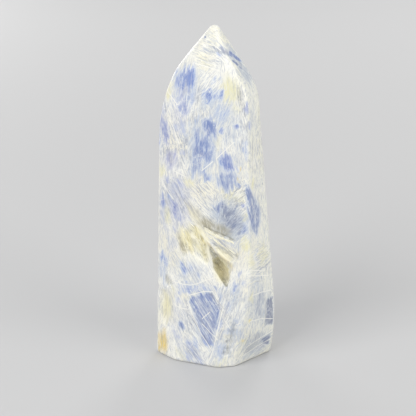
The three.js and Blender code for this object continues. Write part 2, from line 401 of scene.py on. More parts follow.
def distance_to_line(points, start, end):
    """How far each point is from a short straight line."""
    axis = end - start
    share = np.clip((points - start) @ axis / max(axis @ axis, TINY), 0, 1)
    return np.linalg.norm(points - start - share[:, None] * axis, axis=1)


def nearness(points, line, reach, softness):
    """1 close to a short straight line, and a soft fall to 0 at its reach."""
    return soft_step(1 - distance_to_line(points, *line) / reach, 0, softness)


trial = soft_noise(spots / 2, seed=1)
print("noise runs from", trial.min().round(2), "to", trial.max().round(2))

# %% [markdown]
# ## Soft rims
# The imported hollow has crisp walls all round. On the real stone only the slanting blade and the pit are
# crisp. On the left and below, the fibres bend over the rim and lie down on the polished face. There the
# corners of the net are pulled towards the middle of their neighbours a few dozen times, which turns the
# wall into a slope. Each rim is a line from (x, z) to (x, z) in millimetres, then how wide it reaches.

# %% Soften the rims of the hollow
SOFT_RIMS = [
    (-10.5, 41, -9, 34, 2.6), (-8.5, 33.5, -2, 30, 1.4), (-10.5, 41, -6, 44.5, 2),
    (-3, 44.5, 4.5, 42.5, 1),
    # the ledge and the notch on the left side
    (-16.5, 20.5, -13, 20.5, 1.2), (-14, 27, -14, 24, 0.9),
    # the saw-toothed nick
    (5.5, 51, 8, 53, 1.1),
]
RIM_SPREAD = 1.6
SOFTENING_ROUNDS = 70

edge_ends = read_field(net.edges, "vertices", 2)
one_end, other_end = edge_ends.reshape(-1, 2).T
neighbour_count = np.bincount(edge_ends, minlength=len(spots))


def middle_of_neighbours(points):
    """For each corner of the net, the middle of the corners that it has an edge to."""
    total = np.empty_like(points)
    for axis in range(3):
        values = points[:, axis]
        total[:, axis] = np.bincount(one_end, values[other_end], len(points))
        total[:, axis] += np.bincount(other_end, values[one_end], len(points))
    return total / neighbour_count[:, None]


def even_out(pull, rounds):
    """Pull the corners towards the middle of their neighbours, each by its share, so many times."""
    before = spots.copy()
    for _ in range(rounds):
        spots[:] += (middle_of_neighbours(spots) - spots) * pull[:, None]
    return round(float(np.linalg.norm(spots - before, axis=1).max()), 2)


near_rim = np.zeros(len(spots))
for *ends, reach in SOFT_RIMS:
    near_this = nearness(spots, front_line(*ends), reach * RIM_SPREAD, softness=0.6)
    np.maximum(near_rim, near_this, out=near_rim)
print("rims moved by up to", even_out(near_rim, SOFTENING_ROUNDS), "mm")

# %% [markdown]
# ## Rounded edges
# The polishing wheel leaves the edges between the facets a few tenths of a millimetre round. The even net
# cuts across them in small steps, so the corners near an edge are evened out in the same way.

# %% Round the edges between the facets
EDGE_REACH = 0.6
EDGE_ROUNDS = 5

near_edge = np.zeros(len(spots))
for hull_edge in hull_edges:
    np.maximum(near_edge, nearness(spots, hull_edge, EDGE_REACH, softness=0.5), out=near_edge)
print("edges moved by up to", even_out(near_edge, EDGE_ROUNDS), "mm")

# %% [markdown]
# ## Raised floors
# The groove above the slanting blade and the upper end of the pit are only narrow slits on the real stone.
# There the floor is lifted by a share of its depth. Each place is a line, how wide it reaches and the share.

# %% Lift the floor where the slits are narrow
LIFTED_FLOORS = [
    (-2.8, 41.5, 5.5, 36.7, 3.2, 0.75), (-1.6, 37.6, -0.4, 35.4, 1.2, 0.6),
    (1.8, 33.6, 4.6, 30.6, 2.6, 0.45), (-4.7, 42, -3.7, 38, 1.4, 0.5), (-10, 40.5, -8.5, 37, 1.6, 0.3),
]

foot_spots = np.array([hull_tree.find_nearest(Vector(spot))[0] for spot in spots])
for *ends, reach, share in LIFTED_FLOORS:
    lift = nearness(foot_spots, front_line(*ends), reach, softness=0.8) * share
    spots += (foot_spots - spots) * lift[:, None]
print(len(LIFTED_FLOORS), "floors lifted")

# %% [markdown]
# ## Depth below the polish
# The depth of a corner below the hull says whether it is polished or lies in a hollow. The nearest point of
# the hull, its foot, is where the corner would be if nothing had broken away, and colours are laid out by
# the feet, so that a patch runs on down into a hollow.

# %% Measure the depth
hits = [hull_tree.find_nearest(Vector(spot)) for spot in spots]
feet = np.array([hit[0] for hit in hits])
hull_normals = np.array([outward_of(hit[0], hit[1]) for hit in hits])
depths = np.array([hit[3] for hit in hits])
seen_from_front = hull_normals[:, 1] < 0
print("deepest hollow", round(float(depths.max()), 2), "mm")

# %% [markdown]
# ## Which way the blades run
# The rock is a jumble of blade bundles. Each bundle has one direction and ends where it meets the next. Here
# a bundle is a short line on the surface with a size and a lean, in degrees from upright towards the right.
# Every point of the stone belongs to the bundle that is nearest for its size. The list holds the bundles of
# the front sides, and the back has bundles drawn at random of the same kind.

# %% Bundles of blades
# From (x, z) to (x, z) in millimetres, then the size of the bundle and its lean.
FRONT_BUNDLES = [
    # the point
    (-3, 96, -2, 90, 2.5, -84), (2, 95, 8.5, 86, 1.5, -46),
    # the upper body
    (-8, 87, -8, 79, 2.5, 0), (-12, 78, -11, 68, 2, -20), (-1.5, 88, -2.5, 84, 2, 35),
    (4, 88, 6.5, 80, 1.5, -10), (-1.5, 75, -0.5, 69, 1.5, -20), (-4.5, 73, -4, 58, 2.5, 4),
    (2, 79, 1.5, 73, 2, 20), (3.5, 71, 3, 58, 2, -12), (7, 77, 8, 61, 1.5, -6),
    (-14.5, 75, -14.5, 55, 1.5, -4), (11, 83, 12, 40, 2.5, 0),
    # the middle
    (-12, 64, -12, 58, 2, 3), (-10, 64, -8.5, 57, 1, -20), (-10.5, 55, -12.5, 49, 2, -30),
    (-12, 47, -10.5, 39, 2, -22), (-14.5, 53, -14.5, 37, 1.5, -14), (-4, 55, -1, 49, 2, -48),
    (1.5, 51, 2, 45, 1.5, 6), (7, 50, 6, 42, 2, 38), (5.5, 51, 8.5, 56, 1, 42),
    (9.5, 54.5, 11.3, 43, 2, -12),
    # in and around the hollows
    (-7.5, 50, -3, 42, 1.5, -33), (-7.5, 41, -3, 33, 2, -32), (-1, 40, 5, 36, 1, -52),
    (-1, 35, 3, 28, 1, -35), (-9, 31, -4.5, 27, 2, -30),
    # the lower body
    (-10, 24, -5.5, 23.5, 1, -20), (-4.5, 21.5, -1, 8.5, 2.5, -34), (-11.5, 19.5, -11, 5, 2, -22),
    (-8.5, 7, -3, 1, 1.5, -40), (4.5, 27, -1, 3, 1.5, 16), (8, 25, 5, 5, 1.5, 8), (8, 37, 7, 30, 1.5, 4),
    (-15, 33, -15, 22, 1.5, 3), (-14.5, 20, -14.5, 12, 1.5, 0), (-15, 8, -15.5, 1, 1.5, 8),
    (12, 37, 12, 29, 2, 88), (13, 26, 13.5, 11, 2, 1), (12, 3, 15.5, 4, 1.5, 66), (2, 8, 2.5, 2, 1.5, 8),
    (6, 7, 7.5, 3, 1.5, 30),
]
BACK_BUNDLES = 40
BACK_TURNS = (92, 252)
BACK_TOP = 92


def leaning_frame(normal, lean):
    """Three directions at a spot on the surface: across the blades, along them and out."""
    side = unit(np.array([-normal[1], normal[0], 0.0]))
    rise = np.cross(normal, side)
    angle = math.radians(lean)
    along = math.sin(angle) * side + math.cos(angle) * rise
    across = math.cos(angle) * side - math.sin(angle) * rise
    return np.array([across, along, normal])


def back_line(lowest, highest, turn_spread, shortest, longest):
    """The ends of a line drawn at random on the back, and the normal at its lower end."""
    turn, height = draws.uniform(*BACK_TURNS), draws.uniform(lowest, highest)
    start, normal = on_side(turn, height)
    turn += draws.normal(0, turn_spread)
    end, _ = on_side(turn, min(height + draws.uniform(shortest, longest), BACK_TOP))
    return start, end, normal


bundles = []
for x0, z0, x1, z1, size, lean in FRONT_BUNDLES:
    (start, normal), (end, _) = on_front(x0, z0), on_front(x1, z1)
    bundles.append((start, end, size, leaning_frame(normal, lean)))
for _ in range(BACK_BUNDLES):
    turn = draws.uniform(*BACK_TURNS)
    low = draws.uniform(2, 90)
    lean = draws.normal(0, 20)
    start, normal = on_side(turn, low)
    end, _ = on_side(turn, min(low + draws.uniform(4, 12), 95))
    bundles.append((start, end, draws.uniform(1.4, 2.5), leaning_frame(normal, lean)))
print(len(bundles), "bundles of blades")

# %% [markdown]
# ## Coordinates along the blades
# Every corner now gets coordinates of its own bundle: across the blades, along them and out. Noise that is
# stretched in these coordinates follows the blades. The borders between bundles are shaken about first,
# because real bundles end in a ragged fringe.

# %% Grain coordinates
GRAIN_SHUFFLE = 40
RAGGED_EDGE = 2.2
COARSE_FRINGE, FINE_FRINGE = np.array([1.6, 1.6, 5.0]), np.array([0.6, 0.6, 2.0])
# Keeps the noise of one axis apart from the next.
AXIS_APART = 7


def shaken(points, width, reach, seed):
    """Points pushed about by soft noise, so that what is drawn from them has ragged edges."""
    push = [soft_noise(points / width + AXIS_APART * axis, seed + axis) for axis in range(3)]
    return points + (np.stack(push, axis=1) - 0.5) * reach


ragged = shaken(feet, COARSE_FRINGE, RAGGED_EDGE, seed=3)
ragged = shaken(ragged, FINE_FRINGE, RAGGED_EDGE / 2, seed=9)
nearest = np.argmin([distance_to_line(ragged, start, end) / size for start, end, size, _ in bundles], axis=0)
middles = np.array([(start + end) / 2 for start, end, _, _ in bundles])
frames = np.array([directions for _, _, _, directions in bundles])
shuffles = draws.uniform(-GRAIN_SHUFFLE, GRAIN_SHUFFLE, (len(bundles), 3))


def grain_at(points, owners):
    """The grain coordinates of points, each in the frame of the bundle that owns it."""
    return np.einsum("nij,nj->ni", frames[owners], points - middles[owners]) + shuffles[owners]


grain = grain_at(spots, nearest)
largest_share = np.bincount(nearest).max() / len(spots)
print("the largest bundle holds", round(float(largest_share * 100)), "% of the stone")

# %% [markdown]
# ## Fibres in the hollows
# Where the rock broke, the blades stand out as loose silky fibres. They could be drawn with a bump map, but
# hollows catch the light with real ridges, so the net itself is lowered between the fibres there. The
# ridges follow the bundle that the point belongs to, and they fade out towards the polished rim. A few
# narrow slits are cut in as well.

# %% Raise the fibres
FIBRE_DEPTH, FINE_FIBRE_DEPTH = 0.42, 0.24
FIBRE_WIDTH, FINE_FIBRE_WIDTH = 1.7, 0.84
FIBRE_LENGTH, FIBRE_THICKNESS = 11.0, 3.0
VALLEY_EDGE = (0.02, 0.22)
# How deep a hollow starts and counts in full, and how far left of the middle the recess does.
HOLLOW_FROM, HOLLOW_FULL = 0.3, 0.55
RECESS_FROM, RECESS_FULL = 12, 13.5
RECESS_SMOOTHNESS = 0.6
# From (x, z) to (x, z), half width and depth: the slit above the slanting blade in four pieces, one beside
# the pit and one in the cleft on the left.
CUTS = [
    (-3, 42.6, -1, 41.7, 0.6, 0.8), (-1.2, 41.8, 1.2, 41, 0.55, 0.8), (1, 41.1, 3, 40.6, 0.5, 0.8),
    (2.8, 40.7, 5.2, 39.8, 0.5, 0.7), (-4, 36, -2.4, 32.5, 0.35, 0.3), (-10.2, 38, -8.7, 33.2, 0.7, 0.5),
]


def valleys(width, length, seed):
    """0 on the crests and 1 in the valleys of fibres of that width."""
    waves = soft_noise(grain / np.array([width, length, FIBRE_THICKNESS]), seed)
    return soft_step(np.abs(waves - 0.5), *VALLEY_EDGE)


# The shallow recess on the left side is nearly smooth, so it counts as less of a hollow.
hollow = soft_step(depths, HOLLOW_FROM, HOLLOW_FULL)
hollow *= 1 - RECESS_SMOOTHNESS * soft_step(-feet[:, 0], RECESS_FROM, RECESS_FULL)
lowered = FIBRE_DEPTH * valleys(FIBRE_WIDTH, FIBRE_LENGTH, seed=31)
lowered += FINE_FIBRE_DEPTH * valleys(FINE_FIBRE_WIDTH, FIBRE_LENGTH / 2, seed=32)
lowered *= hollow
for *ends, half_width, depth in CUTS:
    cut = nearness(feet, front_line(*ends), half_width, softness=0.9) * depth
    np.maximum(lowered, cut, out=lowered)


def set_corners(mesh, points):
    """Put the corners of a mesh at points given in millimetres."""
    mesh.vertices.foreach_set("co", (points * MM).astype(np.float32).ravel())
    mesh.update()


set_corners(net, spots)
spots -= read_vectors(net, "normal") * lowered[:, None]
set_corners(net, spots)
print("the net is lowered by up to", round(float(lowered.max()), 2), "mm")

# %% [markdown]
# ## Loose splinters
# Along the top of the slanting blade, and over the straw-coloured half of the hollow, single splinters stand
# clear of the rest. They are too thin for the net, so each is a small spindle of its own: two points with
# four corners between them. They lie on the hollow's floor along the blades there, and they are one mesh.

# %% Splinters in the hollow
# From (x, z) to (x, z), how many, their lean, length and width in millimetres, and how far they stand up.
SPLINTER_ROWS = [
    # the teeth along the top of the slanting blade
    (-2.8, 41.8, 1.2, 40.4, 22, -50, 1.8, 0.34, 0.3), (1.2, 40.4, 5.2, 39.2, 20, -50, 1.8, 0.34, 0.3),
    # its face, and its lower edge
    (-2, 40.5, 5, 36, 20, -50, 3, 0.24, 0.1), (-0.5, 37.2, 5, 33.5, 10, -50, 1.6, 0.24, 0.1),
    # the straw-coloured half
    (-9, 41, -7.5, 35.5, 14, -26, 3, 0.24, 0.15), (-6.5, 42.5, -4, 35.5, 18, -32, 3.4, 0.26, 0.15),
    (-4.2, 40, -2.2, 33.5, 12, -24, 2.8, 0.24, 0.15),
    # the floor of the pit
    (-1, 34, 2.5, 28, 12, -35, 1.8, 0.2, 0.1),
]
# Splinters stand only where the floor is deeper than this.
LEAST_DEPTH = 0.2
CORNERS_EACH = 6
# The share of a splinter that lies below its thick middle, and how far its tail dips for its lift.
TAIL_SHARE = 0.6
TAIL_DIP = 0.3

skin_tree = tree_of([Vector(spot) for spot in spots], net.polygons)
splinter_corners = []
splinter_faces = []


def add_splinter(middle, directions, length, width, lift):
    """One spindle whose upper end stands a little off the floor."""
    across, along, normal = directions
    first = len(splinter_corners)
    splinter_corners.append(middle - along * length * TAIL_SHARE - normal * lift * TAIL_DIP)
    splinter_corners.append(middle + along * length * (1 - TAIL_SHARE) + normal * lift)
    for side in (across, normal, -across, -normal):
        splinter_corners.append(middle + side * width / 2)
    for step in range(4):
        one, two = first + 2 + step, first + 2 + (step + 1) % 4
        splinter_faces.append((first, one, two))
        splinter_faces.append((first + 1, two, one))


for x0, z0, x1, z1, count, lean, length, width, lift in SPLINTER_ROWS:
    for number in range(count):
        share = (number + draws.uniform(0, 1)) / count
        x = x0 + share * (x1 - x0) + draws.normal(0, 0.2)
        z = z0 + share * (z1 - z0) + draws.normal(0, 0.2)
        scale = draws.uniform(0.6, 1.3)
        own_lean = lean + draws.normal(0, 6)
        spot, normal = from_front(skin_tree, x, z)
        if hull_tree.find_nearest(spot)[3] >= LEAST_DEPTH:
            directions = leaning_frame(unit(outward_of(spot, normal)), own_lean)
            add_splinter(np.array(spot), directions, length * scale, width * scale, lift)
splinter_mesh = bpy.data.meshes.new("hollow_fibres")
splinter_mesh.from_pydata([tuple(corner * MM) for corner in splinter_corners], [], splinter_faces)
splinters = add_object("hollow_fibres", splinter_mesh)
splinter_count = len(splinter_corners) // CORNERS_EACH
print(splinter_count, "splinters")

# %% [markdown]
# ## Soft patches
# Every patch of colour is a soft lens on the surface with two ends, a half width and a strength, and it is
# laid on a layer, which is one number for each corner of the net. The points are brushed first: slid along
# their blades by fine noise, so that a patch ends in a fringe of fibres, as a blade that thins out does.

# %% The brush
FRAY_ALONG, FRAY_ACROSS = 3.4, 0.8
SLIDE_SIZE, SWAY_SIZE = np.array([0.7, 6.0, 1.5]), np.array([1.5, 5.0, 1.5])
LIGHT_SHARE = 0.3
PATCH_SOFTNESS = 0.8
LENS_END = 0.7
LENS_POWER = 2.6
# A patch gives its hue wherever it is stronger than this share of what lies there.
HUE_SHARE = 0.6
# Keeps an empty layer from dividing by zero.
LEAST_LAYER = 0.01
LAYER_NAMES = ("wash", "wash hue", "blue", "blue hue", "cream", "ochre", "straw", "smoke_and_shade", "crest_highlight",
               "parted", "ruled")

layers = {name: np.zeros(len(spots)) for name in LAYER_NAMES}
slide = FRAY_ALONG * (soft_noise(grain / SLIDE_SIZE, seed=41) - 0.5)
sway = FRAY_ACROSS * (soft_noise(grain / SWAY_SIZE, seed=42) - 0.5)
brushed = feet + frames[nearest][:, 1] * slide[:, None] + frames[nearest][:, 0] * sway[:, None]
lightly_brushed = feet + (brushed - feet) * LIGHT_SHARE


def cover_of(line, half_width, softness=PATCH_SOFTNESS, points=brushed):
    """1 in the middle of a soft lens that reaches from end to end of a line, and 0 outside it."""
    start, end = line
    middle = (start + end) / 2
    half_length = np.linalg.norm(end - start) / 2
    axis = (end - start) / max(2 * half_length, TINY)
    along = (points - middle) @ axis
    across = np.linalg.norm(points - middle - along[:, None] * axis, axis=1)
    share_along = np.abs(along) / (half_length + half_width * LENS_END)
    reach = (share_along ** LENS_POWER + (across / half_width) ** LENS_POWER) ** (1 / LENS_POWER)
    return soft_step(1 - reach, 0, softness)


def paint(name, cover, hue=None):
    """Lay one patch on a layer. A hue runs from slate at -1 over blue to violet at 1."""
    layer = layers[name]
    if hue is not None:
        hues = layers[name + " hue"]
        hues += (hue - hues) * np.clip(cover / (layer + LEAST_LAYER), 0, 1) * (cover > layer * HUE_SHARE)
    np.maximum(layer, cover, out=layer)


def paint_front(name, patches, spread, softness=PATCH_SOFTNESS, crisp_below=0):
    """Lay the patches of a list. Those with a half width below a limit are frayed less."""
    for x0, z0, x1, z1, half_width, strength, *hue in patches:
        points = lightly_brushed if half_width < crisp_below else brushed
        cover = cover_of(front_line(x0, z0, x1, z1), half_width * spread, softness, points)
        paint(name, cover * strength, *hue)


print("points are slid by up to", round(float(np.abs(slide).max()), 1), "mm")

# %% [markdown]
# ## The pale blue wash
# Below the polish there are more blades than the saw has met, and their blue shines through as a pale
# cloud. The list holds the clouds of the front, and the back has clouds drawn at random.

# %% Clouds of pale blue
# From (x, z) to (x, z), the half width, the strength and the hue, which runs from slate to violet.
PALE_CLOUDS = [
    # on the point
    (-5, 92.5, 1, 92.5, 0.5, 0.6, -0.8), (-2, 93.6, 2, 91.6, 0.5, 0.6, -0.9),
    (-6, 90.6, 0, 89.6, 0.4, 0.5, -0.8), (-2.5, 95.2, 1.5, 94.4, 0.5, 0.5, -0.5),
    (-1.5, 97.5, 0.5, 96.5, 0.5, 0.35, -0.8), (0, 91, 3, 89.5, 0.5, 0.4, -0.8),
    (1, 94.5, 8, 88.5, 1.5, 0.7, -0.7), (6.5, 89, 10.5, 84, 1.5, 0.9, -0.8),
    # the upper body
    (-8, 87, -8, 78, 3.5, 0.7, 0.1), (-10, 77, -9, 68, 2.5, 0.5, 0.7),
    (-14.5, 74, -14.5, 65, 1, 0.6, 0.7), (-1.5, 83, -2, 77, 2.5, 0.6, 0), (1.5, 80, 3, 72, 3, 0.6, 0),
    (4.5, 76, 4.5, 66, 2.5, 0.5, 0), (10, 82, 10.5, 70, 1, 0.3, -0.3), (8, 79, 8, 76, 1, 0.5, -0.5),
    # the middle
    (-4, 75, -3.5, 58, 3.5, 0.8, 0), (-8.5, 63, -7, 57, 1, 0.3, 0.3), (-12.5, 64, -12, 58, 2, 0.5, 0.6),
    (3.5, 65, 3.5, 56, 3, 0.6, 0.1), (8, 76, 8, 62, 1, 0.35, -0.2), (-11.5, 56, -10.5, 43, 3, 0.8, 0.7),
    (-15, 55, -14.5, 36, 1.5, 0.6, 0.5), (2, 50, 6.5, 42, 3.5, 1, -0.4), (8, 46, 8.5, 42, 1.5, 0.5, -0.3),
    (-3, 52, -2, 49, 1, 0.3, -0.3), (11, 52, 11.5, 41, 1.5, 0.5, 0.2),
    (-12, 40, -12.5, 31, 1.5, 0.4, 0.5), (0.5, 43.5, 5.5, 40.5, 1.5, 0.7, -0.5),
    (-1.5, 40, 4.5, 35.5, 1, 0.5, -0.6),
    # the lower body
    (-15, 33, -15, 22, 1.5, 0.5, 0.1), (-9, 31, -5, 26, 3, 0.5, 0.1), (-10, 24, -1, 24, 1.5, 0.6, 0),
    (-4.5, 21, -1.5, 7, 3.5, 0.65, 0), (-11, 20, -11, 5, 2.5, 0.35, 0.5), (-9, 6, -5, 1, 2.5, 0.6, 0.3),
    (1, 10, 2, 2, 2.5, 0.6, -0.1), (6.5, 28, 3.5, 16, 2, 0.55, 0), (6.5, 16, 5, 7, 2.5, 0.5, 0),
    (11, 28, 13.5, 12, 3.5, 0.5, -0.4), (9, 6, 15.5, 5, 2.5, 0.9, -0.9),
]
CLOUD_SPREAD = 2.8
CLOUD_SOFTNESS = 1.0
BACK_CLOUDS = 34

paint_front("wash", PALE_CLOUDS, CLOUD_SPREAD, CLOUD_SOFTNESS)
for _ in range(BACK_CLOUDS):
    start, end, _ = back_line(lowest=2, highest=84, turn_spread=8, shortest=2, longest=12)
    half_width, strength, hue = draws.uniform(1.5, 4), draws.uniform(0.35, 0.8), draws.uniform(-0.5, 0.7)
    cover = cover_of((start, end), half_width * CLOUD_SPREAD, CLOUD_SOFTNESS)
    paint("wash", cover * strength, hue)
print("the wash covers", round(float((layers["wash"] > 0.3).mean() * 100)), "% of the stone")

# %% [markdown]
# ## Blue blades
# Each blade that a side cuts through shows as a lens of blue. The strongest blue lies where several blades
# overlap, so a patch is several lenses close together.

# %% Blue blades
# From (x, z) to (x, z), the half width, the strength and the hue.
BLUE_BLADES = [
    # upper left, under the point
    (-7, 87.2, -7, 83.6, 1.2, 1.15, 0), (-8, 86.2, -8, 83.2, 1.8, 1.05, 0),
    (-10, 86, -9.5, 83, 1.4, 0.7, 0.1), (-7, 83, -7, 78.5, 1, 0.65, 0),
    (-9, 82.5, -8.5, 79.5, 1.5, 0.5, 0.5), (-9.5, 79, -8.5, 75, 1, 0.65, 0.4),
    (-8, 80, -6.5, 78, 1, 0.6, 0), (-12, 80, -12, 77.5, 1, 0.3, 0.5),
    # upper middle
    (-3, 83, -3, 77, 0.5, 0.4, 0), (-2, 82, -1, 80, 1.2, 0.88, 0), (1, 82.5, 1, 80, 0.8, 0.7, 0),
    (0.3, 86.5, -1, 84, 0.5, 0.45, 0), (1.5, 86.5, 1.5, 84.5, 0.5, 0.4, -0.3),
    (2, 79.5, 1.5, 74.5, 2, 0.3, 0), (3, 79, 2.5, 75, 1, 0.4, 0),
    # the large middle patch
    (-4.8, 73, -4, 59, 1.5, 0.42, -0.2), (-2.5, 75, -0.5, 69.5, 1.1, 1, -0.2),
    (-5, 72, -5, 66, 1, 0.7, -0.3), (-3.5, 69.5, -3, 62.5, 2, 0.85, -0.2),
    (-5, 66, -4.5, 63, 1, 0.9, -0.3), (-2, 66, -1.5, 63, 0.8, 0.85, -0.2),
    (-5.5, 62.5, -5, 58, 1.5, 0.6, -0.3), (-3, 60, -2.5, 57, 1, 0.65, -0.2),
    (-1.5, 59, -1, 56, 0.6, 0.6, 0), (-5, 76, -5, 72, 0.6, 0.5, -0.2),
    # right of it
    (2.5, 65.5, 3.5, 62, 1, 0.85, 0.3), (3.5, 63, 4.5, 60, 0.8, 0.85, 0.3),
    (1.5, 64.5, 2, 62, 0.6, 0.65, 0), (6, 61.5, 5.5, 60.5, 0.5, 0.6, 0.3),
    (1, 72.5, 2, 70, 0.6, 0.6, 0.1), (5.5, 73.5, 6.2, 73.2, 0.5, 0.9, 0.2),
    (2.5, 59.5, 2.5, 56, 1.6, 0.75, -0.3), (4.5, 59.5, 5.2, 57, 1, 0.7, -0.3),
    (6.3, 57, 7, 55.5, 0.4, 0.7, -0.3),
    # down the left side
    (-14.5, 73, -14, 66, 1.2, 0.68, 0.6), (-14.5, 76, -14.5, 73, 0.6, 0.4, 0.5),
    (-13, 71, -13, 66.5, 0.5, 0.4, 0.6), (-9, 73, -9, 68, 0.8, 0.45, 0.3),
    (-11, 72, -11, 70, 0.5, 0.4, 0.3), (-12, 64.5, -13, 59, 1.2, 0.55, 0.9),
    (-9, 64.5, -9, 63, 0.5, 0.45, 0.4), (-13.5, 56.5, -13.5, 54.5, 0.5, 0.55, 0.5),
    (-12, 55.5, -11.5, 52, 0.8, 0.45, 0.5), (-10.5, 56.5, -9.5, 52, 0.8, 0.5, 0.5),
    (-15.2, 50.5, -14.6, 46.5, 0.6, 0.7, 0.3), (-13.5, 51.5, -12.5, 48, 0.4, 0.7, -0.2),
    (-12, 49.5, -11, 45, 0.9, 0.75, 0.6), (-10.5, 46.5, -9.7, 43, 0.7, 0.45, 0.6),
    (-12, 42.5, -11, 39, 0.4, 0.4, 0.5),
    # above the hollow; the slate lens from (-2, 43.6) to (3.5, 42.2) is painted shade over the groove
    (1, 50.5, 1.5, 46.5, 1, 0.85, -0.5), (2.5, 50, 3, 46.5, 1, 0.85, -0.5),
    (5, 50, 5.3, 47, 0.8, 0.8, -0.4), (4, 48, 5, 43.5, 1.5, 0.9, -0.8),
    (3, 49.5, 6.5, 42.5, 2.6, 0.7, -0.9), (-2, 43.6, 3.5, 42.2, 0.9, 0.4, -1),
    (7.8, 51.3, 7.8, 50.7, 0.5, 0.8, 0.4), (6, 47, 6.5, 42, 1.8, 0.7, -0.8),
    (8, 46, 8.5, 42.5, 0.8, 0.6, -0.4),
    # low on the front
    (-9, 30.5, -8.5, 26.5, 0.7, 0.65, 0), (-8, 31.5, -6, 28.5, 0.4, 0.5, 0),
    (-5.5, 29, -4, 27, 0.4, 0.35, 0), (-10.5, 24, -6, 24, 0.7, 0.5, 0),
    (-4.5, 25, -0.5, 23.5, 0.5, 0.45, 0), (-11, 20.5, -10.5, 18.5, 0.7, 0.4, 0.4),
    (-3.5, 22.5, -2.5, 21, 0.8, 1, 0.1), (-2, 22.5, -0.5, 20.5, 0.5, 0.9, 0.2),
    (-6, 19, -4, 16, 1, 0.95, 0), (-3, 15.5, -1, 12.5, 1, 0.9, -0.1), (-1, 14, 0.3, 12, 0.8, 0.8, 0),
    (-3, 9.5, -1, 6.5, 1, 1, 0), (-2.5, 12, -0.5, 9.5, 1, 0.9, -0.3),
    (-3.5, 13, -1.5, 7.5, 1.6, 0.7, -0.5), (-10.3, 13, -9, 10, 0.5, 0.95, -0.3),
    (-11.5, 10, -10.5, 6.5, 1, 0.3, 0.4), (-8, 7, -6, 4, 0.7, 0.55, 0.2), (-6.5, 8, -5, 5.5, 0.8, 0.5, 0),
    (-9.5, 3.5, -7, 1, 0.8, 0.5, 0.3), (-6, 4, -4, 1, 0.7, 0.6, 0.2), (6.3, 28.5, 5, 24, 0.6, 0.6, -0.1),
    (4.5, 22, 3, 18, 0.6, 0.5, 0), (2, 16, 1, 12, 0.5, 0.5, 0), (7, 31.5, 7.3, 30, 0.6, 0.35, 0.4),
    (8.2, 28, 8, 26.5, 0.5, 0.35, 0.2), (3.2, 12, 4.3, 10.5, 0.8, 0.4, -0.2),
    (6, 15.5, 7, 13.5, 0.8, 0.45, -0.3), (1.5, 8.5, 1, 2, 1, 0.4, -0.1),
    # on the left side
    (-15.2, 33, -14.7, 30, 1, 0.6, 0), (-15, 30, -15, 22.5, 1, 0.35, 0),
    # on the right side
    (8.2, 80, 8.3, 77, 0.6, 0.7, 0.5), (9.5, 75.5, 9.6, 72, 0.5, 0.5, 0.4),
    (8.5, 68, 8.5, 65, 0.7, 0.45, -0.1), (12, 28, 12, 26.5, 1.5, 0.35, -0.5),
    (11.3, 37, 11.6, 33.5, 0.7, 0.3, -0.3),
    # on the point
    (3.3, 92.9, 5, 91.7, 0.42, 1.2, -0.4), (4.8, 91.7, 7.2, 89.8, 0.5, 1.2, -0.4),
    (4.2, 91.4, 5.8, 89.8, 0.25, 1, -0.7), (5.5, 90.1, 6.5, 89, 0.3, 1.1, -0.7),
    (6.4, 89.1, 7.6, 87.8, 0.3, 1, -0.7), (0.2, 94.1, 1.4, 93.5, 0.7, 0.9, -1),
    (1.6, 93.6, 2.8, 92.8, 0.7, 0.9, -1), (2.8, 93.6, 4, 92.4, 0.4, 0.6, -1),
    (6, 90, 8, 87.5, 0.7, 0.5, -0.9), (8, 88, 10, 84.5, 0.7, 0.5, -0.9),
    (-2, 96, 1.5, 95, 0.25, 0.4, -0.8), (0.4, 92.7, 1.6, 91.7, 0.2, 0.7, 0.2),
    (-2.8, 96, -2.4, 96.2, 0.25, 0.8, -0.7),
]
BLADE_SPREAD = 2.4
# A blade narrower than this is frayed less, or it would fall to pieces.
NARROW_BLADE = 0.55
BACK_CLUSTERS = 19
# A millimetre along the surface is about four degrees round the stone.
TURN_PER_MM = 4

paint_front("blue", BLUE_BLADES, BLADE_SPREAD, crisp_below=NARROW_BLADE)
for _ in range(BACK_CLUSTERS):
    turn, height = draws.uniform(*BACK_TURNS), draws.uniform(4, 88)
    cluster_strength, cluster_hue = draws.uniform(0.4, 1), draws.uniform(-0.4, 0.6)
    cluster_lean = math.tan(math.radians(draws.normal(0, 18)))
    for _ in range(draws.integers(3, 7)):
        low = height + draws.normal(0, 4)
        rise = draws.uniform(2, 7)
        sideways = turn + draws.normal(0, 9)
        start, _ = on_side(sideways, min(max(low, 1), 90))
        end, _ = on_side(sideways + cluster_lean * rise * TURN_PER_MM, min(max(low + rise, 2), BACK_TOP))
        half_width = draws.uniform(0.6, 2)
        paint("blue", cover_of((start, end), half_width * BLADE_SPREAD) * cluster_strength, cluster_hue)
print("blue covers", round(float((layers["blue"] > 0.3).mean() * 100)), "% of the stone")

# %% [markdown]
# ## Sharp-sided slabs of blue
# A few blades lie flat in the surface and show whole, with straight sides where they cleaved. They are
# outlines, again across and up in millimetres on the front.

